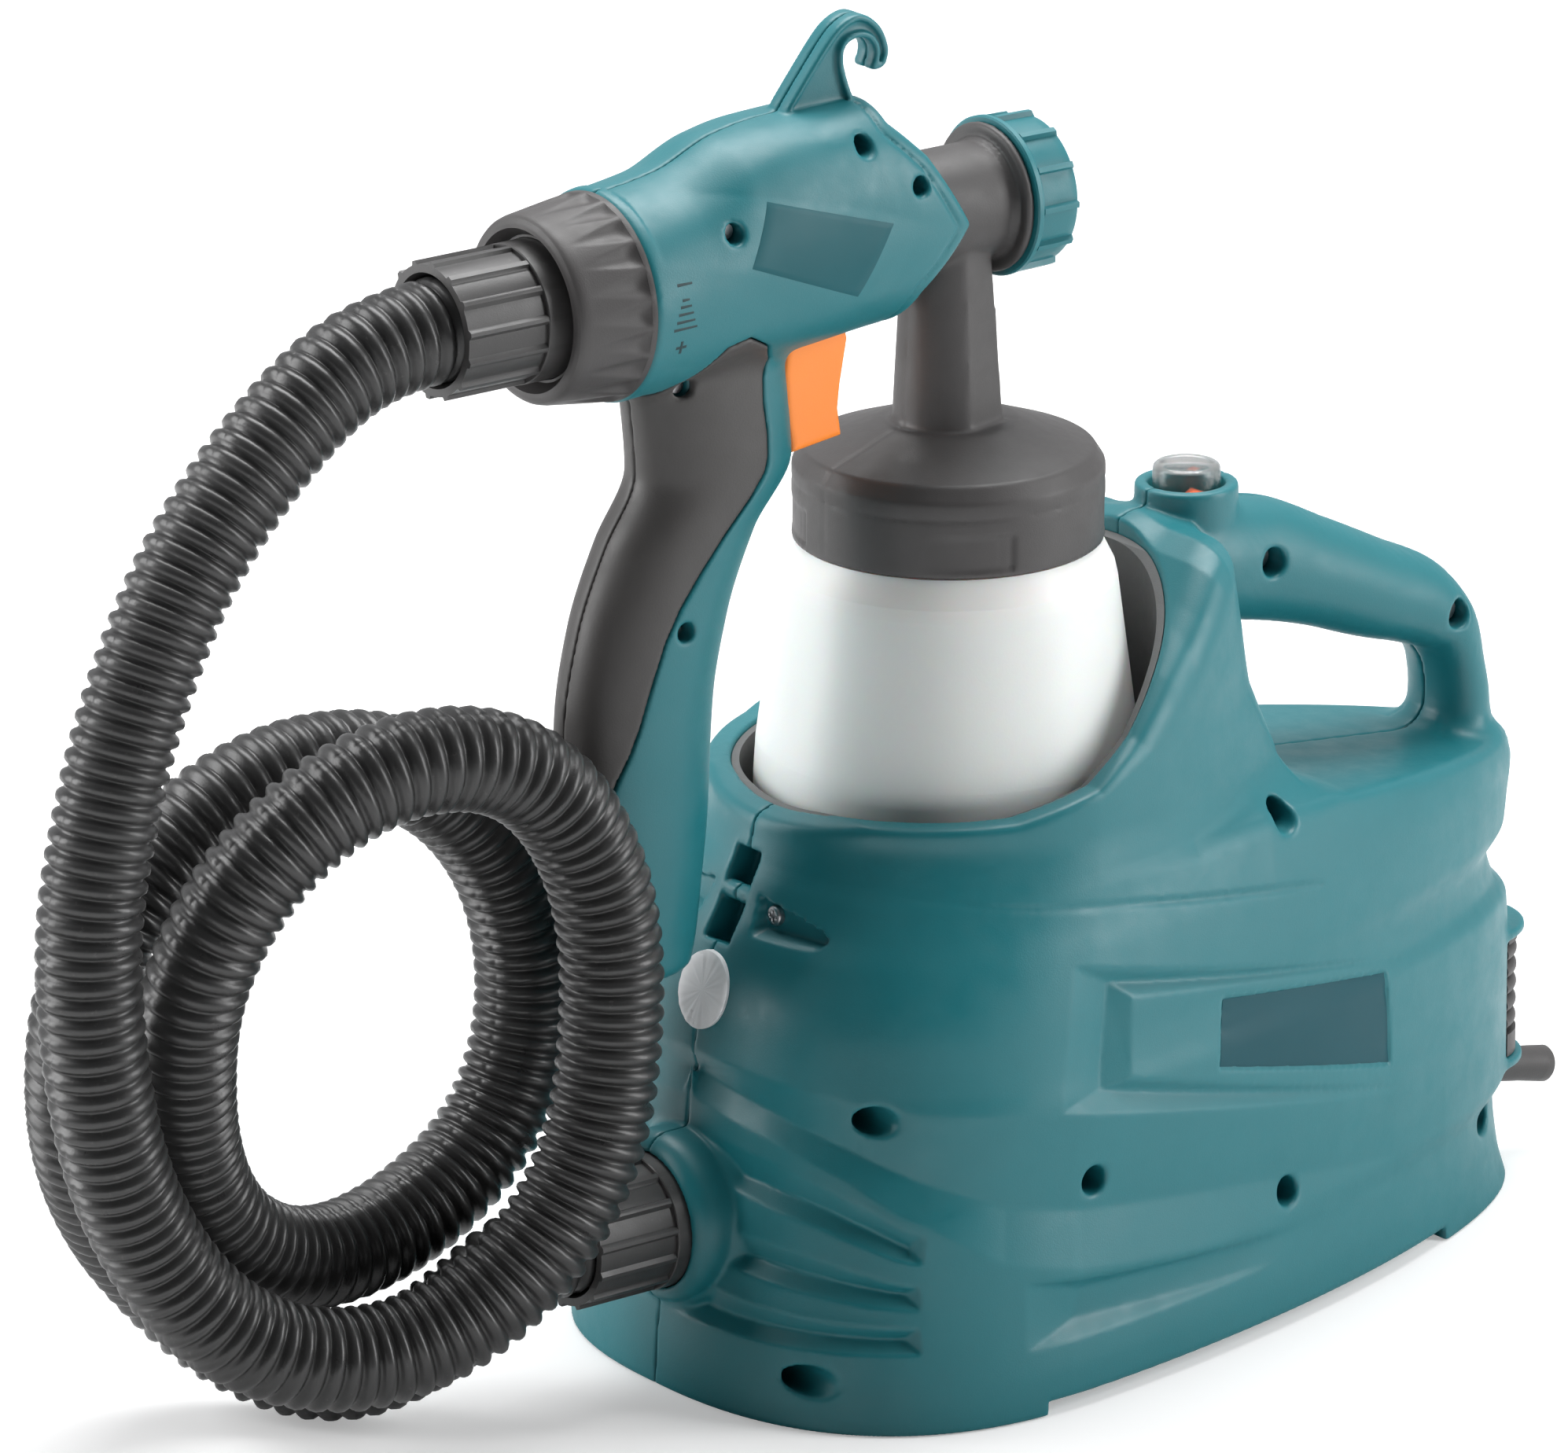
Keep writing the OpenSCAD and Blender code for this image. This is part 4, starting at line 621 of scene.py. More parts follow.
def make_hose():
    """The ribbed hose with its bore, blended from the base to the gun."""
    line, along = hose_line()
    length = along[-1]
    s, radius = rib_rings(length)
    centre = np.stack([np.interp(s, along, line[:, k]) for k in range(3)], 1)
    ahead = np.gradient(centre, axis=0)
    ahead /= np.linalg.norm(ahead, axis=1)[:, None]
    u, v = across_line(ahead)
    angle = np.radians(HOSE_ANGLES)
    at_seam = [min(a % 180, 180 - a % 180) <= 2 for a in HOSE_ANGLES]
    notch = np.where(at_seam, SEAM_NOTCH, 0.0) * MM
    crest = np.clip((radius - 0.0135) / 0.0015, 0, 1)
    r = radius[:, None] - notch[None, :] * crest[:, None]
    outer = ring_points(centre, u, v, angle, r[..., None])
    k, m = len(angle), len(s)
    inner_at = np.arange(0, m, 12).tolist()
    if inner_at[-1] != m - 1:
        inner_at.append(m - 1)
    inner = ring_points(centre[inner_at], u[inner_at], v[inner_at], angle, HOSE_BORE_R * MM)
    base, q = m * k, len(inner_at)
    a = np.arange(k)
    c = (a + 1) % k
    outer_end, inner_end = (m - 1) * k, base + (q - 1) * k
    faces = np.concatenate([
        tube_faces(m, k),
        base + tube_faces(q, k)[:, [0, 3, 2, 1]],
        np.stack([c, a, base + a, base + c], -1),
        np.stack([outer_end + a, outer_end + c, inner_end + c, inner_end + a], -1),
    ])
    verts = np.concatenate([outer.reshape(-1, 3), inner.reshape(-1, 3)])
    mesh = smooth_mesh("air_hose", verts, faces.tolist(), HOSE_BLACK)
    o = add("air_hose", mesh)
    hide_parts("hose")
    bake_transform(o, "base", "gun", start=tuple(centre[-1]), end=tuple(centre[0]))
    # the first stretch, down from the gun, follows the gun; the turns stay with the base
    at = np.concatenate([np.repeat(s, k), np.repeat(s[inner_at], k)])
    t = np.clip(1 - (at - FOLLOW_FULL) / FOLLOW_FADE, 0, 1)
    weight = (t * t * (3 - 2 * t)).astype(np.float32)
    mesh.attributes["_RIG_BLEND"].data.foreach_set("value", weight)
    path = [tuple(p) for p in centre[::-1][::6]]
    if np.linalg.norm(np.array(path[-1]) - centre[0]) > 1e-6:
        path.append(tuple(centre[0]))
    return o, path, length


def connector(name, x_mouth, z, body, stands_for):
    """One of the hose's two moulded ends: a ring where it plugs in, and raised bars to the open end."""
    bars, rim = 14, 2.4
    core = HOSE_END_R - 1.3
    end, full, eased = HOSE_END_LEN, HOSE_END_R, HOSE_END_R - 0.3

    def wave(along, r, angle):
        """Bars rise from the core between the rims; the core is the profile's own radius there."""
        up = np.clip((1.3 - off_line(angle, bars, 9, full)) / 0.4, 0, 1)
        if along < end - rim:
            return np.where(r > core - 0.4, core + (full - 0.15 - core) * up, r)
        return r
    profile = [
        (0.0, 16.4), (0.0, full - 0.5), (0.5, full), (rim - 0.3, full), (rim, eased),
        (rim + 0.05, core), (rim + 6, core), (end - rim - 6, core), (end - rim - 0.05, core),
        (end - rim, eased), (end - rim + 0.3, full),
        (end + 21.6, full), (end + 22, full - 0.4), (end + 22, HOSE_BORE_R), (HOSE_SEAT, HOSE_BORE_R),
        (HOSE_SEAT, 15.4), (2.0, 15.4),
    ]
    return turned(name, (x_mouth, 0, z), (1, 0, 0), profile, body, END_BLACK, [stands_for],
                  n=240, wave=wave, sharp=35)


hose, hose_path, hose_length = make_hose()
end_gun = connector("hose_connector_gun", END_GUN_X, TAIL_Z, "gun", "hose_end_gun")
end_base = connector("hose_connector_base", END_BASE_X, OUTLET_Z, "base", "hose_end_base")


# ---------------------------------------------------------------- floor unit

BODY_ROWS = [
    # height, front reach, widest station, rear reach, half width, squareness
    (0, FOOT_FRONT - 1.5, -25, FOOT_REAR + 1.5, FOOT_HALF + 2, 2.45),
    (12, FOOT_FRONT - 2, -24, FOOT_REAR - 2.5, FOOT_HALF + 1.5, 2.45),
    (28, FOOT_FRONT - 4, -22, FOOT_REAR - 4.5, FOOT_HALF - 0.5, 2.5),
    (36, FOOT_FRONT - 6.5, -21, FOOT_REAR + 1, FOOT_HALF - 1, 2.5),
    (74, FOOT_FRONT - 13, -18, FOOT_REAR + 1, FOOT_HALF - 3, 2.5),
    (90, FOOT_FRONT - 14.5, -16, FOOT_REAR, FOOT_HALF - 4, 2.5),
    (98, FOOT_FRONT - 15.5, -15, FOOT_REAR - 6, FOOT_HALF - 5.5, 2.5),
    (105, FOOT_FRONT - 16.5, -14, FOOT_REAR - 8, FOOT_HALF - 6.5, 2.5),
    (114, FOOT_FRONT - 18, -12, FOOT_REAR - 1, FOOT_HALF - 7.5, 2.5),
    (131, FOOT_FRONT - 24, -8, FOOT_REAR + 0.5, FOOT_HALF - 10.5, 2.4),
    (140, FOOT_FRONT - 29, -5, FOOT_REAR - 2, FOOT_HALF - 13, 2.3),
    (DECK + 3, FOOT_FRONT - 34, -2, FOOT_REAR - 14, FOOT_HALF - 16.5, 2.2),
]
SHROUD_ROWS = [
    (110, SHROUD_R + 9, -8, 150, SHROUD_R, 2.2),
    (DECK, SHROUD_R + 3.2, -2, 134, SHROUD_R + 1, 2.1),
    (RIM_FRONT, SHROUD_R - 1, 0, 122, SHROUD_R - 1, 2),
    (190, SHROUD_R - 1, 0, 109, SHROUD_R - 1, 2),
    (240, SHROUD_R - 1, 0, 102, SHROUD_R - 1, 2),
]
HANDLE_ROWS = [
    # station, height, half height, half width
    (50, 211, 15, 16), (78, 212, 18.5, 18), (92, 211.5, 18.5, 18), (110, 208.5, 18.5, 17),
    (134, 200, 16.3, 17), (155, 191, 15, 17), (172, 184, 13.6, 17), (183, 175, 10.6, 16),
    (187.8, 163, 9, 14.5), (189.6, 150, 10, 14.5), (188.5, 134, 16, 17),
]
# the upper edge in side view, from the low front rim up the sail and down to the rear deck
RIM_LINE = [
    (-SHROUD_R - 12, RIM_FRONT - 2), (-SHROUD_R, RIM_FRONT), (-58, RIM_FRONT + 4.5), (-24, RIM_FRONT + 6),
    (1, RIM_FRONT + 12), (18, RIM_FRONT + 23), (33, RIM_FRONT + 37), (50, RIM_BACK - 13), (60, RIM_BACK - 4),
    (68, RIM_BACK),
]
BACK_LINE = [
    (78, RIM_BACK - 2), (84, RIM_BACK - 24), (88.5, RIM_BACK - 47), (91, RIM_BACK - 66), (98, DECK + 6),
    (110, DECK + 1.5), (122, DECK), (180, DECK - 6), (FOOT_REAR + 20, DECK - 11),
]
HOUSING_SCREWS = [
    # station, height, distance of the hole's floor from the parting plane
    (-73, 91, 30), (-10, 65, 56), (-92, 15, 28), (71, 40, 46), (78, 150, 36), (180, 26, 20), (108, 211, 7),
    (180, 181, 7),
]


def teardrop(b, table):
    """An upright body with a blunt nose and a longer tail, from a table of its sizes by height."""
    front, wide, rear, half, square = (c[None, None, :] for c in rows(table, b.z[0, 0]))
    side = np.abs(b.y) / half
    ahead = np.clip((wide - b.x) / (wide + front), 0, None)
    behind = np.clip((b.x - wide) / (rear - wide), 0, None)
    nose = (ahead ** square + side ** square) ** (1 / square)
    tail = (side ** 1.9 + behind ** 1.4) ** (1 / 1.9)
    return b.level(np.where(b.x < wide, nose, tail) - 1)


def facets(x, z, triangles):
    """Depth of shallow planes pressed into a wall, from triangles of (station, height, depth)."""
    depth = np.zeros(np.broadcast_shapes(x.shape, z.shape), np.float32)
    for (x0, z0, d0), (x1, z1, d1), (x2, z2, d2) in triangles:
        det = (z1 - z2) * (x0 - x2) + (x2 - x1) * (z0 - z2)
        if abs(det) < 1e-6:
            continue
        l0 = ((z1 - z2) * (x - x2) + (x2 - x1) * (z - z2)) / det
        l1 = ((z2 - z0) * (x - x2) + (x0 - x2) * (z - z2)) / det
        l2 = 1 - l0 - l1
        inside = (l0 >= -1e-4) & (l1 >= -1e-4) & (l2 >= -1e-4)
        depth = np.where(inside, l0 * d0 + l1 * d1 + l2 * d2, depth)
    return depth


def pressed(distance, deep, slope):
    """Depth of a pocket with sloping walls inside an outline."""
    return np.clip(-distance / slope, 0, 1) * deep


CREASES = [
    # (station, height, depth) along each of the three creases that sweep round the nose to the rear
    [(-147, 99.4, 0), (-128, 99, 0), (-84, 96, 0), (-37, 90, 0), (-2, 83, 0), (43, 73, 0), (93, 62, 0),
     (150, 50, 0)],
    [(-147, 94, 2.2), (-129, 91, 2.8), (-84, 80.5, 3), (-49, 67.5, 3), (-35, 60, 3), (4, 55, 2.6),
     (56, 47, 2.2), (93, 41, 1.6), (150, 31, 0)],
    [(-147, 86, 0), (-125, 83, 0), (-81, 71, 0), (-52, 52.6, 0), (-37, 42.7, 0), (2, 38, 0), (42, 33, 0),
     (95, 29, 0), (150, 22, 0)],
]
GROOVES = [
    # upper edge, valley and lower edge of each groove beside the outlet
    [[(-150, 77.5), (-120, 75), (-100, 71), (-81, 65), (-66, 58.3)],
     [(-150, 69.5), (-120, 67), (-100, 64), (-81, 58.4), (-68, 53.6)],
     [(-150, 67.5), (-120, 62), (-100, 59), (-83, 54.7), (-67, 50)]],
    [[(-150, 53), (-120, 52), (-100, 49.7), (-83, 46.7), (-68, 43.4)],
     [(-150, 45.2), (-120, 45.5), (-100, 43.7), (-83, 42), (-70, 40.8)],
     [(-150, 44), (-120, 41), (-100, 39.5), (-83, 38), (-68, 36.8)]],
    [[(-150, 36.5), (-132, 33.8), (-115, 33.3), (-97, 32.4), (-69, 31.5)],
     [(-154, 31), (-137, 28), (-115, 28), (-95, 28), (-71.5, 27.7)],
     [(-158, 24.8), (-140, 24), (-115, 24), (-95, 24), (-69, 24)]],
]
GROOVE_DEEP = 3.5
LABEL_FIELD = [(43.6, 106.4), (118.7, 94.2), (120.2, 64.6), (40, 86)]
TROUGH = [(-10.5, 145.2), (-24, 143), (-34.5, 140.6), (-38.5, 138), (-36, 135.4), (-13, 135.4)]
SHROUD_STEP = [
    (-66, 152.5), (-54, 150), (-33, 146.5), (0, 142), (40, 135), (90, 127), (90, 130), (40, 138), (0, 145),
    (-33, 149.5), (-54, 153), (-66, 155.5),
]


def ribbon(upper, lower):
    """Triangles between two lines of (station, height, depth) that run the same way."""
    steps = np.linspace(0, 1, 12)
    lines = []
    for line in (upper, lower):
        p = np.array(line, float)
        t = np.concatenate([[0], np.cumsum(np.hypot(*np.diff(p[:, :2], axis=0).T))])
        lines.append(np.stack([np.interp(steps, t / t[-1], p[:, k]) for k in range(3)], 1))
    a, c = lines
    found = []
    for i in range(len(steps) - 1):
        found += [(a[i], a[i + 1], c[i]), (a[i + 1], c[i + 1], c[i])]
    return found


def relief_planes():
    """All the flat planes pressed into the wall, as triangles of (station, height, depth)."""
    out_top, out_right = (-14, 129, 0), (134, 94.3, 0)
    valley_top, valley_low = (-1, 121.4, 3), (-6.7, 91.5, 3)
    in_top, in_low = (6.7, 116, 0.2), (4.4, 92.7, 0.2)
    out_low, tip_low = (-23, 88.5, 0), (133, 54.8, 0)
    wall_low = (93, 62.5, 0)
    panel = [
        (out_top, out_right, valley_top), (valley_top, out_right, in_top), (out_top, valley_top, valley_low),
        (out_top, valley_low, out_low), (valley_top, in_top, in_low), (valley_top, in_low, valley_low),
        (valley_low, in_low, tip_low), (out_low, valley_low, wall_low), (valley_low, wall_low, tip_low),
        (in_top, out_right, in_low), (in_low, out_right, tip_low),
    ]
    top, mid_top, mid_low, low = (-37.4, 40.3, 0), (-16.4, 34.5, 2.8), (-19.3, 25.6, 2.8), (-37.8, 20.6, 0)
    far_top, far_low = (74, 28.4, 0), (63, 21, 0)
    wedge = [(top, far_top, mid_top), (mid_top, far_top, mid_low), (far_top, far_low, mid_low),
             (mid_low, far_low, low), (top, mid_top, mid_low), (top, mid_low, low)]
    triangles = ribbon(CREASES[0], CREASES[1]) + ribbon(CREASES[1], CREASES[2]) + panel + wedge
    for groove in GROOVES:
        upper, valley, lower = ([(s, z, deep) for s, z in line]
                                for line, deep in zip(groove, (0, GROOVE_DEEP, 0)))
        triangles += ribbon(upper, valley) + ribbon(valley, lower) + [(upper[-1], valley[-1], lower[-1])]
    return triangles


def relief(b):
    """Depth of all that is pressed into the wall. Stations run along X, and round the nose they run on
    across it, so that the lines sweep round to the front."""
    cell = 0.5
    stations = np.arange(-170, 160, cell, dtype=np.float32)
    heights = np.arange(0, 140, cell, dtype=np.float32)
    depth = facets(stations[:, None], heights[None, :], relief_planes())
    station = np.where(b.x < 0, b.x - 0.8 * np.clip(70 - np.abs(b.y), 0, None), b.x)
    total = between(depth, np.clip((station - stations[0]) / cell, 0, len(stations) - 2),
                    np.clip((b.z - heights[0]) / cell, 0, len(heights) - 2))
    total = total * np.clip((b.from_x(OUTLET_Z) - 26) / 2, 0, 1)
    reach = np.clip((44 + b.y) / 27, 0, 1)
    total = total + pressed(b.front(TROUGH), 8.5, 0.8) * reach * (b.x < -40) * (b.z > 130)
    return total + pressed(b.side(SHROUD_STEP, 1), 0.7, 1.2)


def handle_field(b):
    """The carrying handle: an oval bar along a path in the parting plane."""
    table = np.array(HANDLE_ROWS, float)
    t = np.linspace(0, len(table) - 1, 160)
    path = np.stack([flow(t, np.arange(len(table)), table[:, k]) for k in range(4)], 1)
    x, z = b.x[:, 0, :], b.z[0]
    best = np.full(np.broadcast_shapes(x.shape, z.shape), 1e9)
    u, half, wide = np.zeros_like(best), np.ones_like(best), np.ones_like(best)
    for px, pz, h, w in path:
        dx, dz = x - px, z - pz
        dist = dx * dx + dz * dz
        nearer = dist < best
        best = np.where(nearer, dist, best)
        u = np.where(nearer, np.sqrt(dist), u)
        half, wide = np.where(nearer, h, half), np.where(nearer, w, wide)
    across = (np.abs(b.y) / wide[:, None, :]) ** (2 / 0.9)
    return b.level(np.sqrt((u / half)[:, None, :] ** 2 + across) - 1)


def tube_x(b, x0, x1, z, r):
    """A cylinder along X."""
    return np.maximum(b.from_x(z) - r, np.maximum(x0 - b.x, b.x - x1))


def tube_z(b, z0, z1, x, r):
    """An upright cylinder."""
    return np.maximum(b.from_z(x) - r, np.maximum(z0 - b.z, b.z - z1))


def brick(b, x0, x1, y0, y1, z0, z1):
    """A block between two stations on each axis."""
    return np.maximum(np.maximum(np.maximum(x0 - b.x, b.x - x1), np.maximum(y0 - b.y, b.y - y1)),
                      np.maximum(z0 - b.z, b.z - z1))


def tilted(b, x, z, angle):
    """Distances along and across a line in the parting plane that slopes down to the rear."""
    return ((b.x - x) * math.cos(angle) - (b.z - z) * math.sin(angle),
            (b.x - x) * math.sin(angle) + (b.z - z) * math.cos(angle))


def tilted_brick(b, x, z, degrees, deep, wide, tall):
    """A block about a point, tilted in the parting plane."""
    u, w = tilted(b, x, z, math.radians(degrees))
    return np.maximum(np.maximum(np.abs(u) - deep / 2, np.abs(w) - tall / 2), np.abs(b.y) - wide / 2)


def housing_form(b):
    """The outside of the floor unit, with its relief and before any opening is cut."""
    body = teardrop(b, BODY_ROWS) + relief(b)
    body = common(body, b.z - (DECK + 2.5), 4)
    body = common(body, -b.z, 1.0)
    shroud = common(teardrop(b, SHROUD_ROWS), 112 - b.z)
    ends = [(-FOOT_FRONT - 20, -9), (-FOOT_FRONT - 20, RIM_FRONT - 2)]
    profile = b.side(ends + RIM_LINE + BACK_LINE + [(FOOT_REAR + 20, -9)])
    # the sail's side rolls over into its rim, the low rim in front is crisper
    roll = 3 + 12 * np.clip(b.x / 45, 0, 1) * np.clip((b.z - 165) / 20, 0, 1)
    shape = common(union(body, shroud, 3.5 + 9 * np.clip((b.x - 40) / 30, 0, 1)), profile, roll)
    shape = union(shape, handle_field(b), 7)
    shape = union(shape, common(tube_z(b, 205, 300, SWITCH_X, 15.2), b.z - 236, 1.6), 1.5)
    outlet = common(b.from_x(OUTLET_Z) - 25.5, -FOOT_FRONT - 1 - b.x, 8)
    shape = union(shape, common(outlet, b.x + 70, 0.5), 1.2)
    # two round lips frame the air intake at the rear
    for z in (35.0, 76.0):
        shape = union(shape, common(b.from_z(193.5) - 21, np.abs(b.z - z - 1.5) - 1.5, 1.2), 1.2)
    return shape


def housing_cut(b, shape):
    """The floor unit with its openings, and with the bars that cross its two strap slots."""
    # the gap under the belly, the cup's well and the two strap slots
    shape = less(shape, brick(b, -31, 150, -200, 200, -20, 4), 1.5)
    shape = less(shape, tube_z(b, WELL_FLOOR - 0.2, 400, 0, LINER_R + 0.2), 1.2)
    shape = less(shape, tilted_brick(b, -77, 143, 22, 18, 11, 28), 0.9)
    shape = less(shape, tilted_brick(b, 198, 91, -10, 20, 11, 15), 0.9)
    for x, z, deep in HOUSING_SCREWS:
        shape = less(shape, np.maximum(b.from_y(x, z) - 4.3, b.y + deep), 1.6)
    # the switch column's bore, the air outlet, the rooms of motor and fan, and the air intake
    shape = less(shape, tube_z(b, 214, 300, SWITCH_X, 11.4), 0.8)
    shape = less(shape, tube_x(b, -200, -87.4, OUTLET_Z, HOSE_END_R + 0.2), 0.8)
    for x0, x1, r in ((-90, 20, 17.2), (19.8, 60.2, 45.2), (60, 118.2, 29.2)):
        shape = less(shape, tube_x(b, x0, x1, OUTLET_Z, r))
    shape = less(shape, brick(b, 195.7, 230, -18.5, 18.5, 38, 76), 0.6)
    shape = less(shape, brick(b, 181.5, 196, -7.95, 7.95, 38, 76))
    shape = less(shape, brick(b, 169.5, 182, -8, 8, 45, 69))
    # the mains lead's sleeve leaves through a hole at the back, and its collar sits in a groove
    along, across = tilted(b, SLEEVE_X, SLEEVE_Z, SLEEVE_TILT)
    off = np.sqrt(across ** 2 + b.y ** 2)
    shape = less(shape, np.maximum(off - 5.8, -1.2 - along), 0.6)
    shape = less(shape, np.maximum(off - 7.2, np.abs(along - 0.5) - 1.8))
    for x, z in ((-74, 143), (194, 90)):
        shape = union(shape, np.maximum(b.from_y(x, z) - 2.75, np.abs(b.y) - 7), 0.5)
    return shape


def make_base():
    """The two halves of the floor unit, which meet at the seam, and the bare label."""
    b = Block((-113, -93, -3), (234, 2.4, 242), 0.9)
    shape = housing_cut(b, housing_form(b))
    split = b.y + SEAM
    far = common(shape, split, 0.5)
    near = common(shape + pressed(b.side(LABEL_FIELD), 1.0, 0.7) * (b.y < -30), split, 0.5)
    solid("housing_near_moulded", b, near, "base", TEAL, ["housing_near"], light=0.45)
    solid("housing_far_moulded", b, far, "base", TEAL, ["housing_far"], mirror=True,
          light=0.45)
    plate("base_label", b, near_map(b, near), [(44.4, 105.6), (118, 93.4), (119.4, 65.8), (41, 86.6)],
          0.35, 0.6, "base", BASE_LABEL, n=30)


make_base()


def round_seal():
    """A bare silver disc on the front of the base, across the seam."""
    n, rings, radius, middle = 96, 10, 10.9, 117.1
    heights, reaches = [r[0] for r in BODY_ROWS], [r[1] for r in BODY_ROWS]
    below, front, above = (-flow(np.array(z), heights, reaches)
                           for z in (middle - radius, middle, middle + radius))
    lean = (above - below) / (2 * radius)
    verts, faces = [], []
    for lift in (0.7, -1.2):
        for i in range(rings + 1):
            r = radius * i / rings
            a = np.radians(np.arange(n) * 360 / n)
            y, z = -1.1 + r * np.cos(a), middle + r * np.sin(a)
            # faint rays fan out from its middle
            rays = 0.05 * (np.sin(5 * a) + np.sin(13 * a + 1) + np.sin(23 * a)) * i / rings
            x = front + lean * (z - middle) - lift + rays + (0.2 if i == rings and lift > 0 else 0)
            verts.append(np.stack([x, y, z], 1))
    m = rings + 1
    for side in (0, 1):
        for i in range(m - 1):
            for a in range(n):
                c = (a + 1) % n
                f = [(side * m + i) * n + a, (side * m + i + 1) * n + a, (side * m + i + 1) * n + c,
                     (side * m + i) * n + c]
                faces.append(tuple(f) if side else tuple(reversed(f)))
    for a in range(n):
        c = (a + 1) % n
        faces.append(((m - 1) * n + a, (m - 1) * n + c, (2 * m - 1) * n + c, (2 * m - 1) * n + a))
    piece("front_seal", np.concatenate(verts), faces, "base", SILVER, sharp=40)


round_seal()


def make_trough_screw():
    """The cross-head screw that shows in the trough beside the strap slot."""
    b = Block((-80, -21, 136), (-70, -12, 146), 0.22)
    across, up = b.y + 16.4, b.z - 140.6
    head = common(np.sqrt(across ** 2 + up ** 2) - 3.0, np.abs(b.x + 74.4) - 1.3, 1.0)
    cross = np.minimum(np.maximum(np.abs(across) - 0.45, np.abs(up) - 1.8),
                       np.maximum(np.abs(up) - 0.45, np.abs(across) - 1.8))
    head = less(head, np.maximum(cross, b.x + 74.6), 0.3)
    solid("trough_screw", b, head, "base", STEEL)


make_trough_screw()

turned("switch_cap_clear", (SWITCH_X, 0, 228), (0, 0, 1),
       [(0, 9.0), (0, 10.0), (11.6, 10.0), (12.7, 9.7), (13.3, 8.9), (13.5, 7.5), (13.5, 0.0), (12.6, 0.0),
        (12.6, 8.2), (11.8, 9.0)],
       "base", CLEAR, ["switch_cap"], n=72, sharp=50)

turned("lead_sleeve", (SLEEVE_X, 0, SLEEVE_Z), (math.cos(SLEEVE_TILT), 0, -math.sin(SLEEVE_TILT)),
       [(-0.9, 0.0), (-0.9, 6.8), (1.9, 6.8), (2.0, 5.6), (9, 5.6), (20, 5.35), (27, 5.5), (30.2, 5.6),
        (30.9, 5.1), (30.9, 4.2), (26.5, 4.0), (26.5, 0.0)],
       "base", CHARCOAL, ["cord_sleeve"], n=48, sharp=40)


# ---------------------------------------------------------------- gun

GUN_ROWS = [
    # station, height of the axis, half height, half width, squareness
    (TAIL_X, TAIL_Z, 30.5, 30.5, 2), (TAIL_X + 20, TAIL_Z + 2.5, 30.9, 29.5, 2.2),
    (TAIL_X + 40, GUN_Z + 2, 33.1, 28.5, 2.4), (TAIL_X + 55, GUN_Z + 3.2, 34.2, 28, 2.4),
    (TAIL_X + 90, GUN_Z + 4.8, 33.3, 26, 2.3), (TAIL_X + 110, GUN_Z + 2.5, 29, 24, 2.2),
    (TAIL_X + 122, GUN_Z + 1, 22.5, 21.5, 2),
]
GRIP_ROWS = [
    # height, station of the axis, half length, half width, squareness
    (128, -115, 16, 14, 2.4), (132, -114.5, 18, 15, 2.4), (150, -115, 22, 15, 2.4),
    (178, -114, 24.5, 15, 2.3), (207, -112.5, 24.5, 15.5, 2.3), (232, -107.5, 24.5, 16, 2.3),
    (255, -98, 24.5, 16, 2.3), (275, -86, 26, 16, 2.3), (298, -88, 26, 16, 2.3), (318, -90, 24, 16, 2.3),
]
GUN_FRONT = [
    (TAIL_X - 1, 270), (TAIL_X - 1, 410), (-34, 410), (-34, GUN_Z + 33), (-24, GUN_Z + 23), (-10, GUN_Z + 1),
    (-25, GUN_Z - 17), (-40, 270),
]
PANEL = [
    (-94, 319), (-76, 309.5), (-78.5, 298), (-75.5, 279), (-78, 271), (-97, 252), (-111, 234), (-118, 215),
    (-122.5, 201), (-129, 188), (-136, 168), (-139, 150), (-160, 150), (-160, 296), (-122, 296), (-108, 303),
]
HOOK = [
    (-66, 364.5), (-62.6, 371.9), (-55.5, 380.7), (-46.4, 391.7), (-41.9, 395.4), (-36.2, 397.3),
    (-31.6, 395.6), (-27.6, 391.9), (-25.4, 386.9), (-25.1, 384), (-26.2, 380.4), (-29.9, 379.5),
    (-31.8, 380.5),
    (-29.9, 383.9), (-30.2, 386.7), (-32.8, 389.7), (-37.3, 390.2), (-40.7, 388.5), (-41.4, 384.6),
    (-40.3, 379.7), (-37.6, 372.6), (-34, 367.5), (-34, 360),
]
GUN_SCREWS = [(-96, 348, 20), (-29, 350, 14), (-46, 363.5, 8), (-104.5, 302, 8), (-105.5, 231, 8)]
TRIGGER_ROOM = [
    (-78, 268), (-78, 303), (-70.5, 318), (-69, 330.5), (-64.5, 361.5), (-41, 361.5), (-40.5, 298),
    (-38, 268),
]
# the gun's side has a crease where two flat planes meet, from (station, height, depth)
GUN_CREASE = [(-122, 361, 0.9), (-87, 357, 1.1), (-50, 347.6, 1.1), (-20, 336.3, 0)]
GUN_ABOVE = [(-122, 371, 0), (-90, 370, 0), (-60, 367, 0), (-26, 357, 0)]
GUN_BELOW = [(-122, 343, 0), (-94, 337.7, 0), (-52, 321, 0), (-34, 316, 0)]
SCALE_X = -116.0
SCALE_BARS = [(338, 2.6), (333.6, 1.3), (331.7, 2), (329.6, 2.7), (327.4, 3.3), (325.3, 4.2)]


def rounded(b, first, first_half, second, second_half, square):
    """A bar whose section is an oval made squarer by its exponent."""
    return b.level(((np.abs(first) / first_half) ** square
                    + (np.abs(second) / second_half) ** square) ** (1 / square) - 1)


def gun_hook(b):
    """The hanging hook: a flat bent bar with a recess in its side."""
    side = b.side(HOOK, 2)
    hook = common(side, np.abs(b.y) - 4.5, 0.8)
    return less(hook, common(side + 1.9, np.abs(b.y + 5.5) - 2.6, 0.4), 0.4)


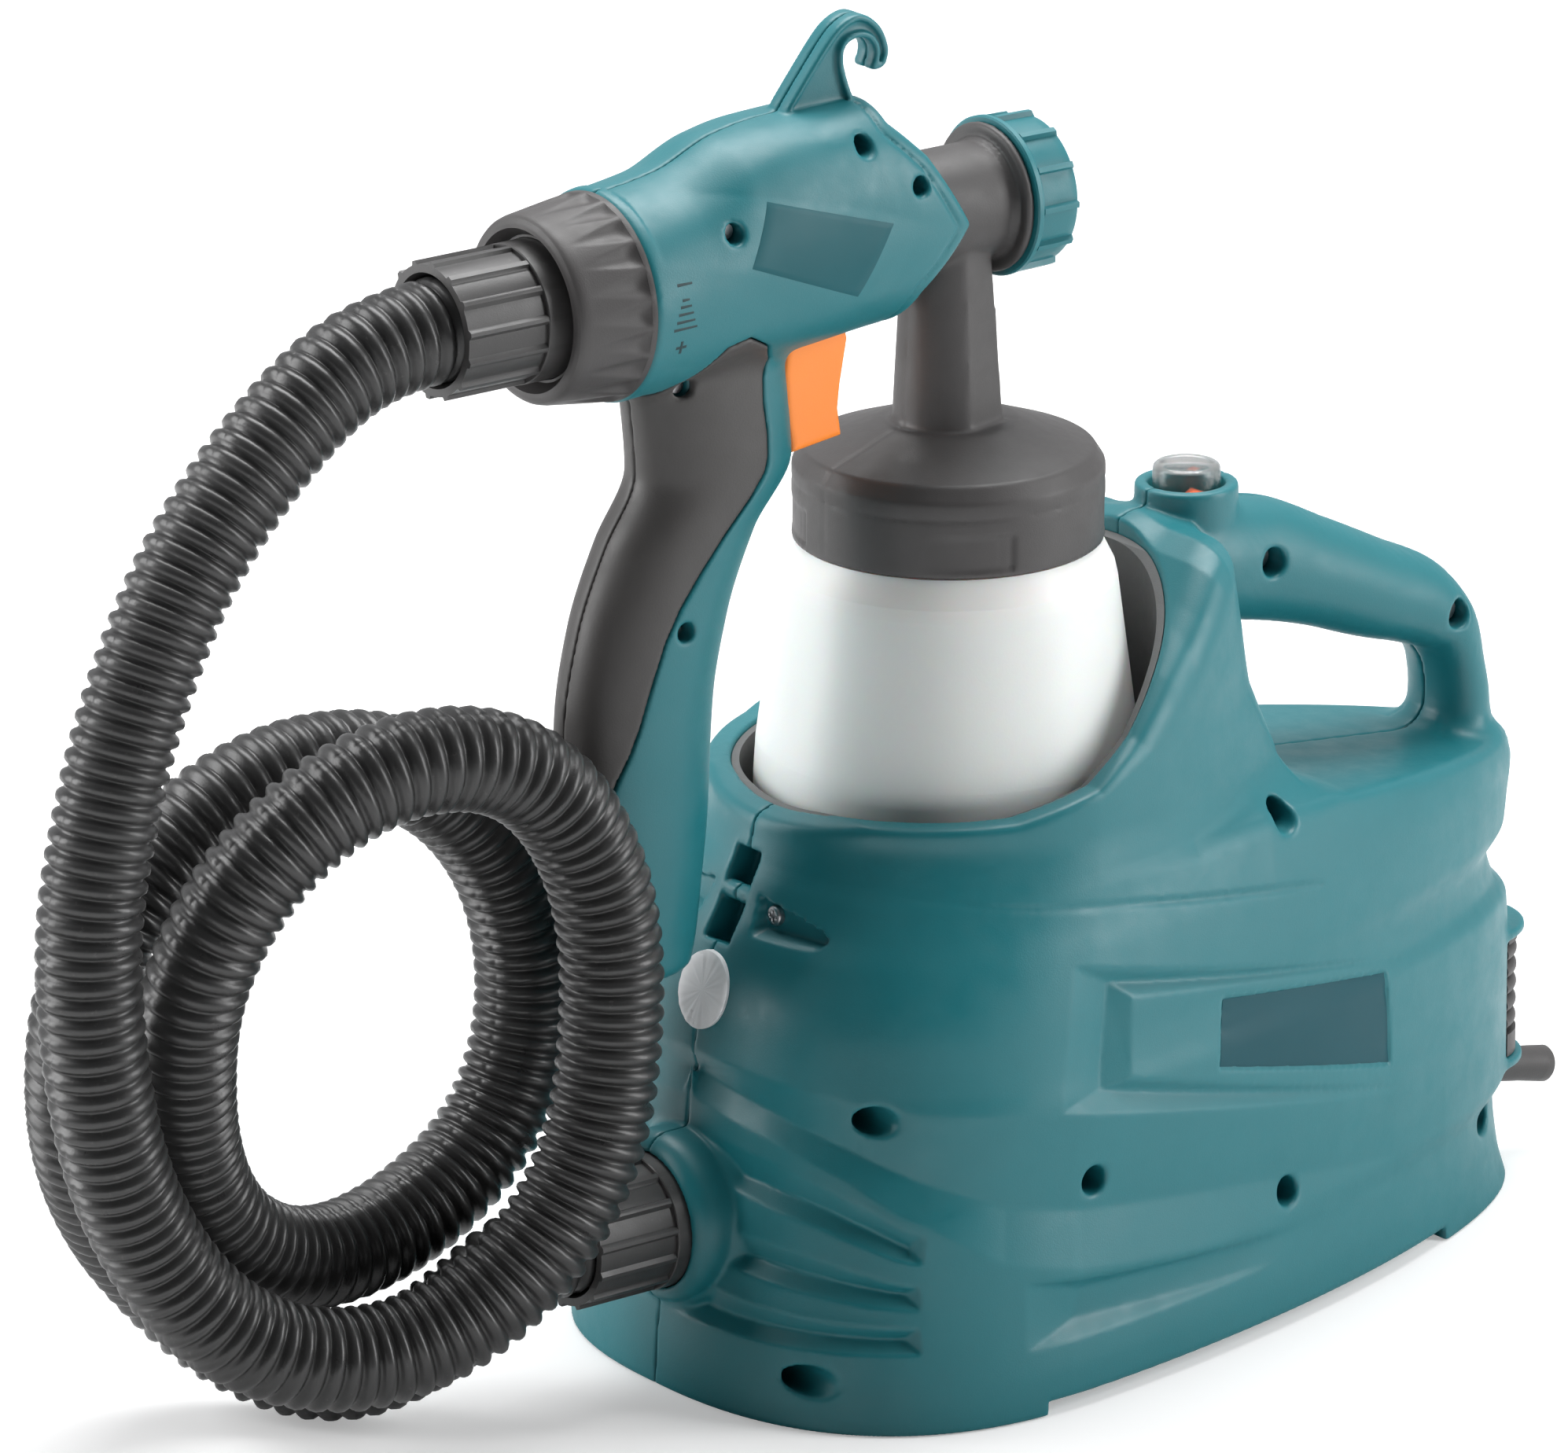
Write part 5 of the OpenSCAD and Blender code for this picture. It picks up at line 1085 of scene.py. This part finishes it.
def make_gun():
    """The gun's two shells and the two grip panels let into them, from one form with its cavities."""
    b = Block((-142, -35, 122), (-1, 2.4, 400.5), 0.85)
    centre, high, wide, square = (c[:, None, None] for c in rows(GUN_ROWS, b.x[:, 0, 0]))
    cut = b.side(GUN_FRONT)
    barrel = common(rounded(b, b.y, wide, b.z - centre, high, square), cut, 1.6)
    # a thin line runs along the slanted front edge
    lip = np.clip(1 - np.abs(cut + 4.2) / 0.8, 0, 1) * (b.x > -48) * 0.8
    crease = ribbon(GUN_ABOVE, GUN_CREASE) + ribbon(GUN_CREASE, GUN_BELOW)
    planes = facets(b.x[:, 0, :], b.z[0], crease)[:, None, :]
    middle, long, thick, square = (c[None, None, :] for c in rows(GRIP_ROWS, b.z[0, 0]))
    grip = rounded(b, b.x - middle, long, b.y, thick, square)
    grip = common(grip, np.maximum(128 - b.z, b.z - 318), 3.5)
    form = union(barrel + lip + planes, grip, 5)
    whole = union(form, gun_hook(b), 0.8)
    region = b.side(PANEL, 1)
    bores = np.minimum(tube_x(b, TAIL_X - 2, TAIL_X + 27, TAIL_Z, 22.7),
                       tube_x(b, TAIL_X, -30, TAIL_Z + 1, 12.6))
    bores = np.minimum(bores, tube_x(b, -34.2, 20, GUN_Z, 17.0))
    room = np.maximum(b.side(TRIGGER_ROOM), np.abs(b.y) - 8.4)
    split = b.y + SEAM
    screws = 99.0
    for x, z, deep in GUN_SCREWS:
        screws = np.minimum(screws, np.maximum(b.from_y(x, z) - 2.9, b.y + deep))
    hollow = np.maximum(grip + 7.4, np.maximum(136 - b.z, b.z - 288))
    shell = less(whole, np.maximum(region - 0.3, -(form + 3.3)), 0.5)
    shell = less(shell, np.minimum(bores, hollow))
    shell = less(shell, room, 1.0)
    shell = common(less(shell, screws, 1.0), split, 0.4)
    solid("gun_near_moulded", b, shell, "gun", TEAL, ["gun_shell_near"])
    solid("gun_far_moulded", b, shell, "gun", TEAL, ["gun_shell_far"], mirror=True)
    panel = common(form, region, 0.9)
    panel = less(less(panel, form + 3.0), np.minimum(bores, screws), 0.8)
    panel = common(panel, split, 0.4)
    solid("grip_near_moulded", b, panel, "gun", GRIP, ["grip_near"])
    solid("grip_far_moulded", b, panel, "gun", GRIP, ["grip_far"], mirror=True)
    make_gun_marks(b, near_map(b, shell))


def make_gun_marks(b, depth_map):
    """The bare label, and a generic scale behind the collar: a short bar, bars that grow and a plus."""
    plate("gun_label", b, depth_map, [(-83.5, 355), (-40, 341.5), (-52, 322), (-92, 338)], 0.3, 0.7, "gun",
          GUN_LABEL, n=24)
    for i, (z, half) in enumerate(SCALE_BARS):
        left, right = SCALE_X - half, SCALE_X + half
        plate(f"scale_bar_{i + 1}", b, depth_map,
              [(left, z + 0.45), (right, z + 0.3), (right, z - 0.3), (left, z - 0.45)],
              0.12, 0.3, "gun", MARK, n=4)
    for i, (dx, dz) in enumerate(((1.9, 0.45), (0.45, 1.9))):
        left, right, top, low = -116.6 - dx, -116.6 + dx, 319.6 + dz, 319.6 - dz
        plate(f"scale_plus_{i + 1}", b, depth_map, [(left, top), (right, top), (right, low), (left, low)],
              0.12 + 0.05 * i, 0.3, "gun", MARK, n=4)


make_gun()


def make_trigger():
    """The trigger, with its pin's hole and the slot for the needle."""
    b = Block((-69, -9.2, 270), (-38, 9.2, 363), 0.5)
    arc = [(PIN_X + 5.5 * math.cos(math.radians(a)), PIN_Z + 5.5 * math.sin(math.radians(a)))
           for a in range(170, 0, -10)]
    back = [(-62, 273.5), (-64.4, 285), (-65.3, 297), (-62.2, 322.5), (-62.7, 341.5)]
    front = [(-46, 322.5), (-42, 304), (-44.5, 291), (-45.3, 284), (-44, 275.7)]
    f = common(b.side(back + arc + front), np.abs(b.y) - 8, 2.4)
    f = less(f, brick(b, -80, -30, -2, 2, 330.5, 338.5), 0.3)
    f = less(f, b.from_y(PIN_X, PIN_Z) - 2.05)
    solid("trigger_moulded", b, f, "trigger", ORANGE, ["trigger"])


make_trigger()


def make_spring():
    """The needle's return spring, one wire coil, which shortens as the needle is drawn back."""
    turns, wire, coil_r, front_x, length = 7, 0.5, 2.9, -68.5, 13.0
    per_turn, around = 36, 10
    t = np.arange(turns * per_turn + 1) / (turns * per_turn)
    a = 2 * math.pi * turns * t
    out = np.stack([0 * a, np.cos(a), np.sin(a)], 1)
    centre = [front_x, 0, GUN_Z] + coil_r * out - length * t[:, None] * [1, 0, 0]
    section = 2 * math.pi * np.arange(around) / around
    verts = (centre[:, None] + wire * (np.cos(section)[None, :, None] * out[:, None]
                                       + np.sin(section)[None, :, None] * np.array([1.0, 0, 0])))
    faces = [tuple(range(around)), tuple(len(t) * around - 1 - i for i in range(around))]
    for i in range(len(t) - 1):
        for j in range(around):
            c = (j + 1) % around
            faces.append((i * around + c, i * around + j, (i + 1) * around + j, (i + 1) * around + c))
    spring = piece("needle_spring_coil", verts.reshape(-1, 3), faces, None, STEEL,
                   ["trigger_spring"])
    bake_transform(spring, "gun", "needle", start=tuple(place([front_x - length, 0, GUN_Z])[0]),
             end=tuple(place([front_x, 0, GUN_Z])[0]))
    even = np.repeat(1 - t, around).astype(np.float32)
    spring.data.attributes["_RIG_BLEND"].data.foreach_set("value", even)


make_spring()


def make_head():
    """The charcoal spray head in one moulding: the cup's lid, the stem and the barrel with its bores."""
    b = Block((-46.5, -46.5, 235), (46.5, 46.5, 357), 0.95)
    lid_z, lid_h, lid_r = 236.5, 22.0, 45.0
    r = b.from_z(0)
    profile = [(0, lid_z + 17.2), (42.4, lid_z + 17.2), (42.4, lid_z), (44.6, lid_z), (lid_r, lid_z + 0.6),
               (lid_r, lid_z + lid_h), (42, lid_z + 26.7), (20, lid_z + 34.5), (0, lid_z + 35.5)]
    q = outline(r, b.z, [(-u, v) for u, v in reversed(profile[1:-1])] + profile)
    # finger steps round the skirt, each sharp on one side and fading out on the other, and a parting line
    angle = np.degrees(np.arctan2(b.y, b.x))
    pocket = np.zeros(b.shape, np.float32)
    for start in (-13, 77, 167, 257):
        back = (start - angle) % 360
        pocket = np.maximum(pocket, np.clip(1 - back / 37, 0, 1) * np.clip(back * 2, 0, 1))
    height = np.clip((lid_z + 12.5 - b.z) / 0.8, 0, 1) * np.clip((b.z - lid_z - 1.6) / 0.8, 0, 1)
    line = np.clip(1 - np.abs(b.z - 254) / 0.6, 0, 1) * 0.3
    joint = np.clip(1 - np.abs(b.y) / 0.6, 0, 1) * 0.35 * (b.x < 0) * (b.z < 322)
    lid = q + (pocket * height * 0.9 + line) * (r > 43.6) + joint * (r > 14) * (b.z > lid_z + 2)
    stem_r = 16 - (b.z - 260.5) / 70 * 3.5
    upright = np.maximum(255 - b.z, b.z - 332)
    stem = np.maximum(b.from_z(STEM_X) - stem_r, np.maximum(upright, b.x + 3.5)) + joint
    # in front of the round back stands a block with flat slanting sides
    front = 11.4 - np.clip((b.z - 262) / 60, 0, 1) * 3.9
    flank = np.abs(b.y) - stem_r + 0.2 + (b.x + 3.5) * 0.25
    ends = np.maximum(255 - b.z, b.z - 324)
    block = np.maximum(np.maximum(b.x - front, -3.6 - b.x), np.maximum(flank, ends))
    body = union(lid, np.minimum(stem, block), 1.5)
    body = union(body, tube_x(b, -34, 12, GUN_Z, 16.8), 1.5)
    body = union(body, common(b.from_x(GUN_Z) - 21.6, np.abs(b.x - 12.75) - 1.25, 0.6), 0.5)
    body = union(body, tube_x(b, 10, 21, GUN_Z, 17.6))
    body = less(body, tube_x(b, -36, 60, GUN_Z, 12.6), 0.6)
    # a core carries the fluid nozzle, with bores for the needle and for the paint from the cup
    body = np.minimum(body, np.minimum(tube_x(b, -12, 12.9, GUN_Z, 6.5), brick(b, -6, 4, -4, 4, 320, 334)))
    body = less(body, tube_x(b, -13, 40, GUN_Z, 3.05))
    body = less(body, tube_z(b, 200, GUN_Z, STEM_X, 2.6))
    body = less(body, tube_z(b, 200, lid_z + 38, STEM_X, 4.05))
    solid("spray_head_moulded", b, body, "gun", CHARCOAL, ["spray_head"])


make_head()


def flutes(along, r, angle):
    """Pointed finger scoops with crisp edges, which start behind the hose-side rim and widen to the gun."""
    count = 22
    off = off_line(angle, count, 90 / count, 28.5)
    reach = np.clip((along - 3.5) / 18.5, 0, 1)
    half = 3.7 * reach ** 0.75
    fade = np.clip((22.8 - along) / 3, 0, 1) ** 0.5
    hollow = np.clip(half * half - off * off, 0, None) / 8 * fade
    return np.where(r > 24, r - hollow, r)


turned("airflow_collar_moulded", (COLLAR_X, 0, TAIL_Z), (1, 0, 0),
       [(0, 23.4), (0, 25.2), (0.5, 26.2), (1.4, 26.8), (3, 27.2), (5, 27.45), (8, 27.85), (11, 28.25),
        (14, 28.65), (17, 29.05), (20, 29.4), (22.5, 29.8), (22.7, 29.85), (24.4, 29.9), (24.7, 29.6),
        (24.7, 22.6), (4.5, 22.6), (4.5, 21), (3.5, 21)],
       "collar", CHARCOAL, ["airflow_collar"], n=352, wave=flutes, sharp=28, steps=2)


def nut_bars(along, r, angle):
    """Narrow straight grip ribs that end short of the front rim."""
    bar = np.clip((1.15 - off_line(angle, 12, 15, 22.5)) / 0.25, 0, 1)
    return np.where((r > 20) & (along > 2.2), r + 1.5 * bar * np.clip((15.4 - along) / 0.5, 0, 1), r)


turned("nozzle_nut_moulded", (14.2, 0, GUN_Z), (1, 0, 0),
       [(0, 17.7), (0, 22.7), (0.4, 23.2), (1.8, 23.2), (2.2, 22.9), (2.3, 21.6), (7, 21.6), (12, 21.5),
        (14.8, 21.4), (15.6, 21.0), (16.0, 20.4), (16.0, 14.0), (14.0, 14.0), (14.0, 17.7)],
       "nut", TEAL, ["nozzle_nut"], n=360, wave=nut_bars, sharp=28)


def make_air_cap():
    """The white cap with its two horns and their small air holes."""
    b = Block((21, -18, GUN_Z - 18), (37, 18, GUN_Z + 18), 0.45)
    off = b.from_x(GUN_Z)
    flange = np.maximum(off - 17, np.abs(b.x - 24.5) - 2.3)
    cap = np.minimum(flange, np.maximum(off - 13.6, np.abs(b.x - 26.45) - 4.25))
    sides = np.maximum(np.abs(b.y) - 4.5, 26 - b.x)
    horns = np.maximum(sides, np.maximum(b.x - 36, 7.2 - np.abs(b.z - GUN_Z)))
    horns = common(horns, off - 13.2 + (b.x - 30) * 0.35, 0.8)
    cap = union(cap, horns, 0.6)
    cap = less(cap, np.maximum(off - 11, b.x - 26.2))
    cap = less(cap, off - 3.2, 0.4)
    cap = less(cap, np.maximum(b.from_z(33.2) - 0.8, off - 9), 0.2)
    solid("air_cap_moulded", b, cap, "cap", CAP_WHITE, ["air_cap"])


make_air_cap()


# ---------------------------------------------------------------- finish of the CAD pieces that stay

FINISH = {
    "well_liner": LINER, "housing_screws": STEEL, "switch_body": END_BLACK, "switch_rocker": ROCKER,
    "filter_cover": CHARCOAL, "air_filter": FOAM, "fan_housing": GREY, "impeller": FAN_METAL,
    "motor": MOTOR_CAN, "motor_shaft": STEEL, "gun_screws": STEEL, "air_tail": END_BLACK,
    "trigger_pin": STEEL,
    "needle": STEEL, "needle_gland": BRASS, "cup": CUP_WHITE, "cup_gasket": RUBBER,
    "pickup_tube": TUBE, "fluid_nozzle": BRASS,
}
for name, mat in FINISH.items():
    mesh = NODES[name].data
    mesh.materials.clear()
    mesh.materials.append(mat)


# ---------------------------------------------------------------- stage and light

def stage_material(name, color, strength):
    """A pale surface that keeps shadows and looks white to the camera where it is lit."""
    m = bpy.data.materials.new(name)
    t = bare_tree(m)
    out = node(t, "ShaderNodeOutputMaterial", 600)
    diffuse = node(t, "ShaderNodeBsdfDiffuse", 0, Color=color, Roughness=1.0)
    glow = node(t, "ShaderNodeEmission", 0, -200, Color=(1, 1, 1, 1))
    ray = node(t, "ShaderNodeLightPath", -400, -200)
    seen = node(t, "ShaderNodeMath", -200, -200, operation="MULTIPLY")
    seen.inputs[1].default_value = strength
    both = node(t, "ShaderNodeAddShader", 300)
    link(t, ray, "Is Camera Ray", seen, 0)
    link(t, seen, 0, glow, "Strength")
    link(t, diffuse, 0, both, 0)
    link(t, glow, 0, both, 1)
    link(t, both, 0, out, "Surface")
    return m


def make_floor():
    """A wide floor just under the object's lowest point."""
    reach, level = 6, -0.0002
    mesh = bpy.data.meshes.new("floor")
    corners = [(x * reach, y * reach, level) for x, y in ((-1, -1), (1, -1), (1, 1), (-1, 1))]
    mesh.from_pydata(corners, [], [(0, 1, 2, 3)])
    mesh.materials.append(stage_material("floor_pale", (0.86, 0.86, 0.86, 1), 0.32))
    add("floor", mesh)


def make_world():
    """A studio that is bright behind and above the object and dim where the camera stands. The camera
    itself sees white, and so do rays that pass through the clear cap."""
    world = bpy.data.worlds.new("studio")
    bpy.context.scene.world = world
    t = bare_tree(world)
    out = node(t, "ShaderNodeOutputWorld", 600)
    sky = node(t, "ShaderNodeBackground", 0, Color=(0.97, 0.98, 1.0, 1))
    white = node(t, "ShaderNodeBackground", 0, -200, Color=(1, 1, 1, 1), Strength=1.0)
    pick = node(t, "ShaderNodeMixShader", 300)
    ray = node(t, "ShaderNodeLightPath", -400)
    toward = node(t, "ShaderNodeTexCoord", -1000, 200)
    facing = node(t, "ShaderNodeVectorMath", -800, 200, operation="DOT_PRODUCT")
    facing.inputs[1].default_value = (BACK.x, BACK.y, BACK.z - 0.25)
    level = remap(t, -600, 200, -0.35, 0.65, 0.62, 0.05)
    link(t, toward, "Generated", facing, 0)
    link(t, facing, "Value", level, "Value")
    link(t, level, "Result", sky, "Strength")
    seen_white = node(t, "ShaderNodeMath", -200, 0, operation="MAXIMUM")
    link(t, ray, "Is Camera Ray", seen_white, 0)
    link(t, ray, "Is Transmission Ray", seen_white, 1)
    link(t, seen_white, 0, pick, 0)
    link(t, sky, 0, pick, 1)
    link(t, white, 0, pick, 2)
    link(t, pick, 0, out, "Surface")


def softbox(name, right, up, back, width, height, power):
    """A soft lamp, placed by how far right of the object, above it and towards the camera it stands."""
    lamp = bpy.data.lights.new(name, "AREA")
    lamp.shape = "RECTANGLE"
    lamp.size, lamp.size_y = width, height
    lamp.energy = power
    o = add(name, lamp)
    middle = Vector((-0.05, 0, 0.19))
    level_back = Vector((BACK.x, BACK.y, 0)).normalized()
    o.location = middle + RIGHT * right + Vector((0, 0, 1)) * up + level_back * back
    o.rotation_mode = "QUATERNION"
    o.rotation_quaternion = (middle - o.location).to_track_quat("-Z", "Y")


make_floor()
make_world()

softbox("lamp_right", 1.45, 0.5, 0.25, 0.6, 1.3, 17)
softbox("lamp_left", -1.4, 0.5, 0.05, 0.7, 1.3, 19)
softbox("lamp_top", 0.1, 1.45, -0.45, 1.4, 0.9, 32)

scene = bpy.context.scene
scene.view_settings.view_transform = "Standard"
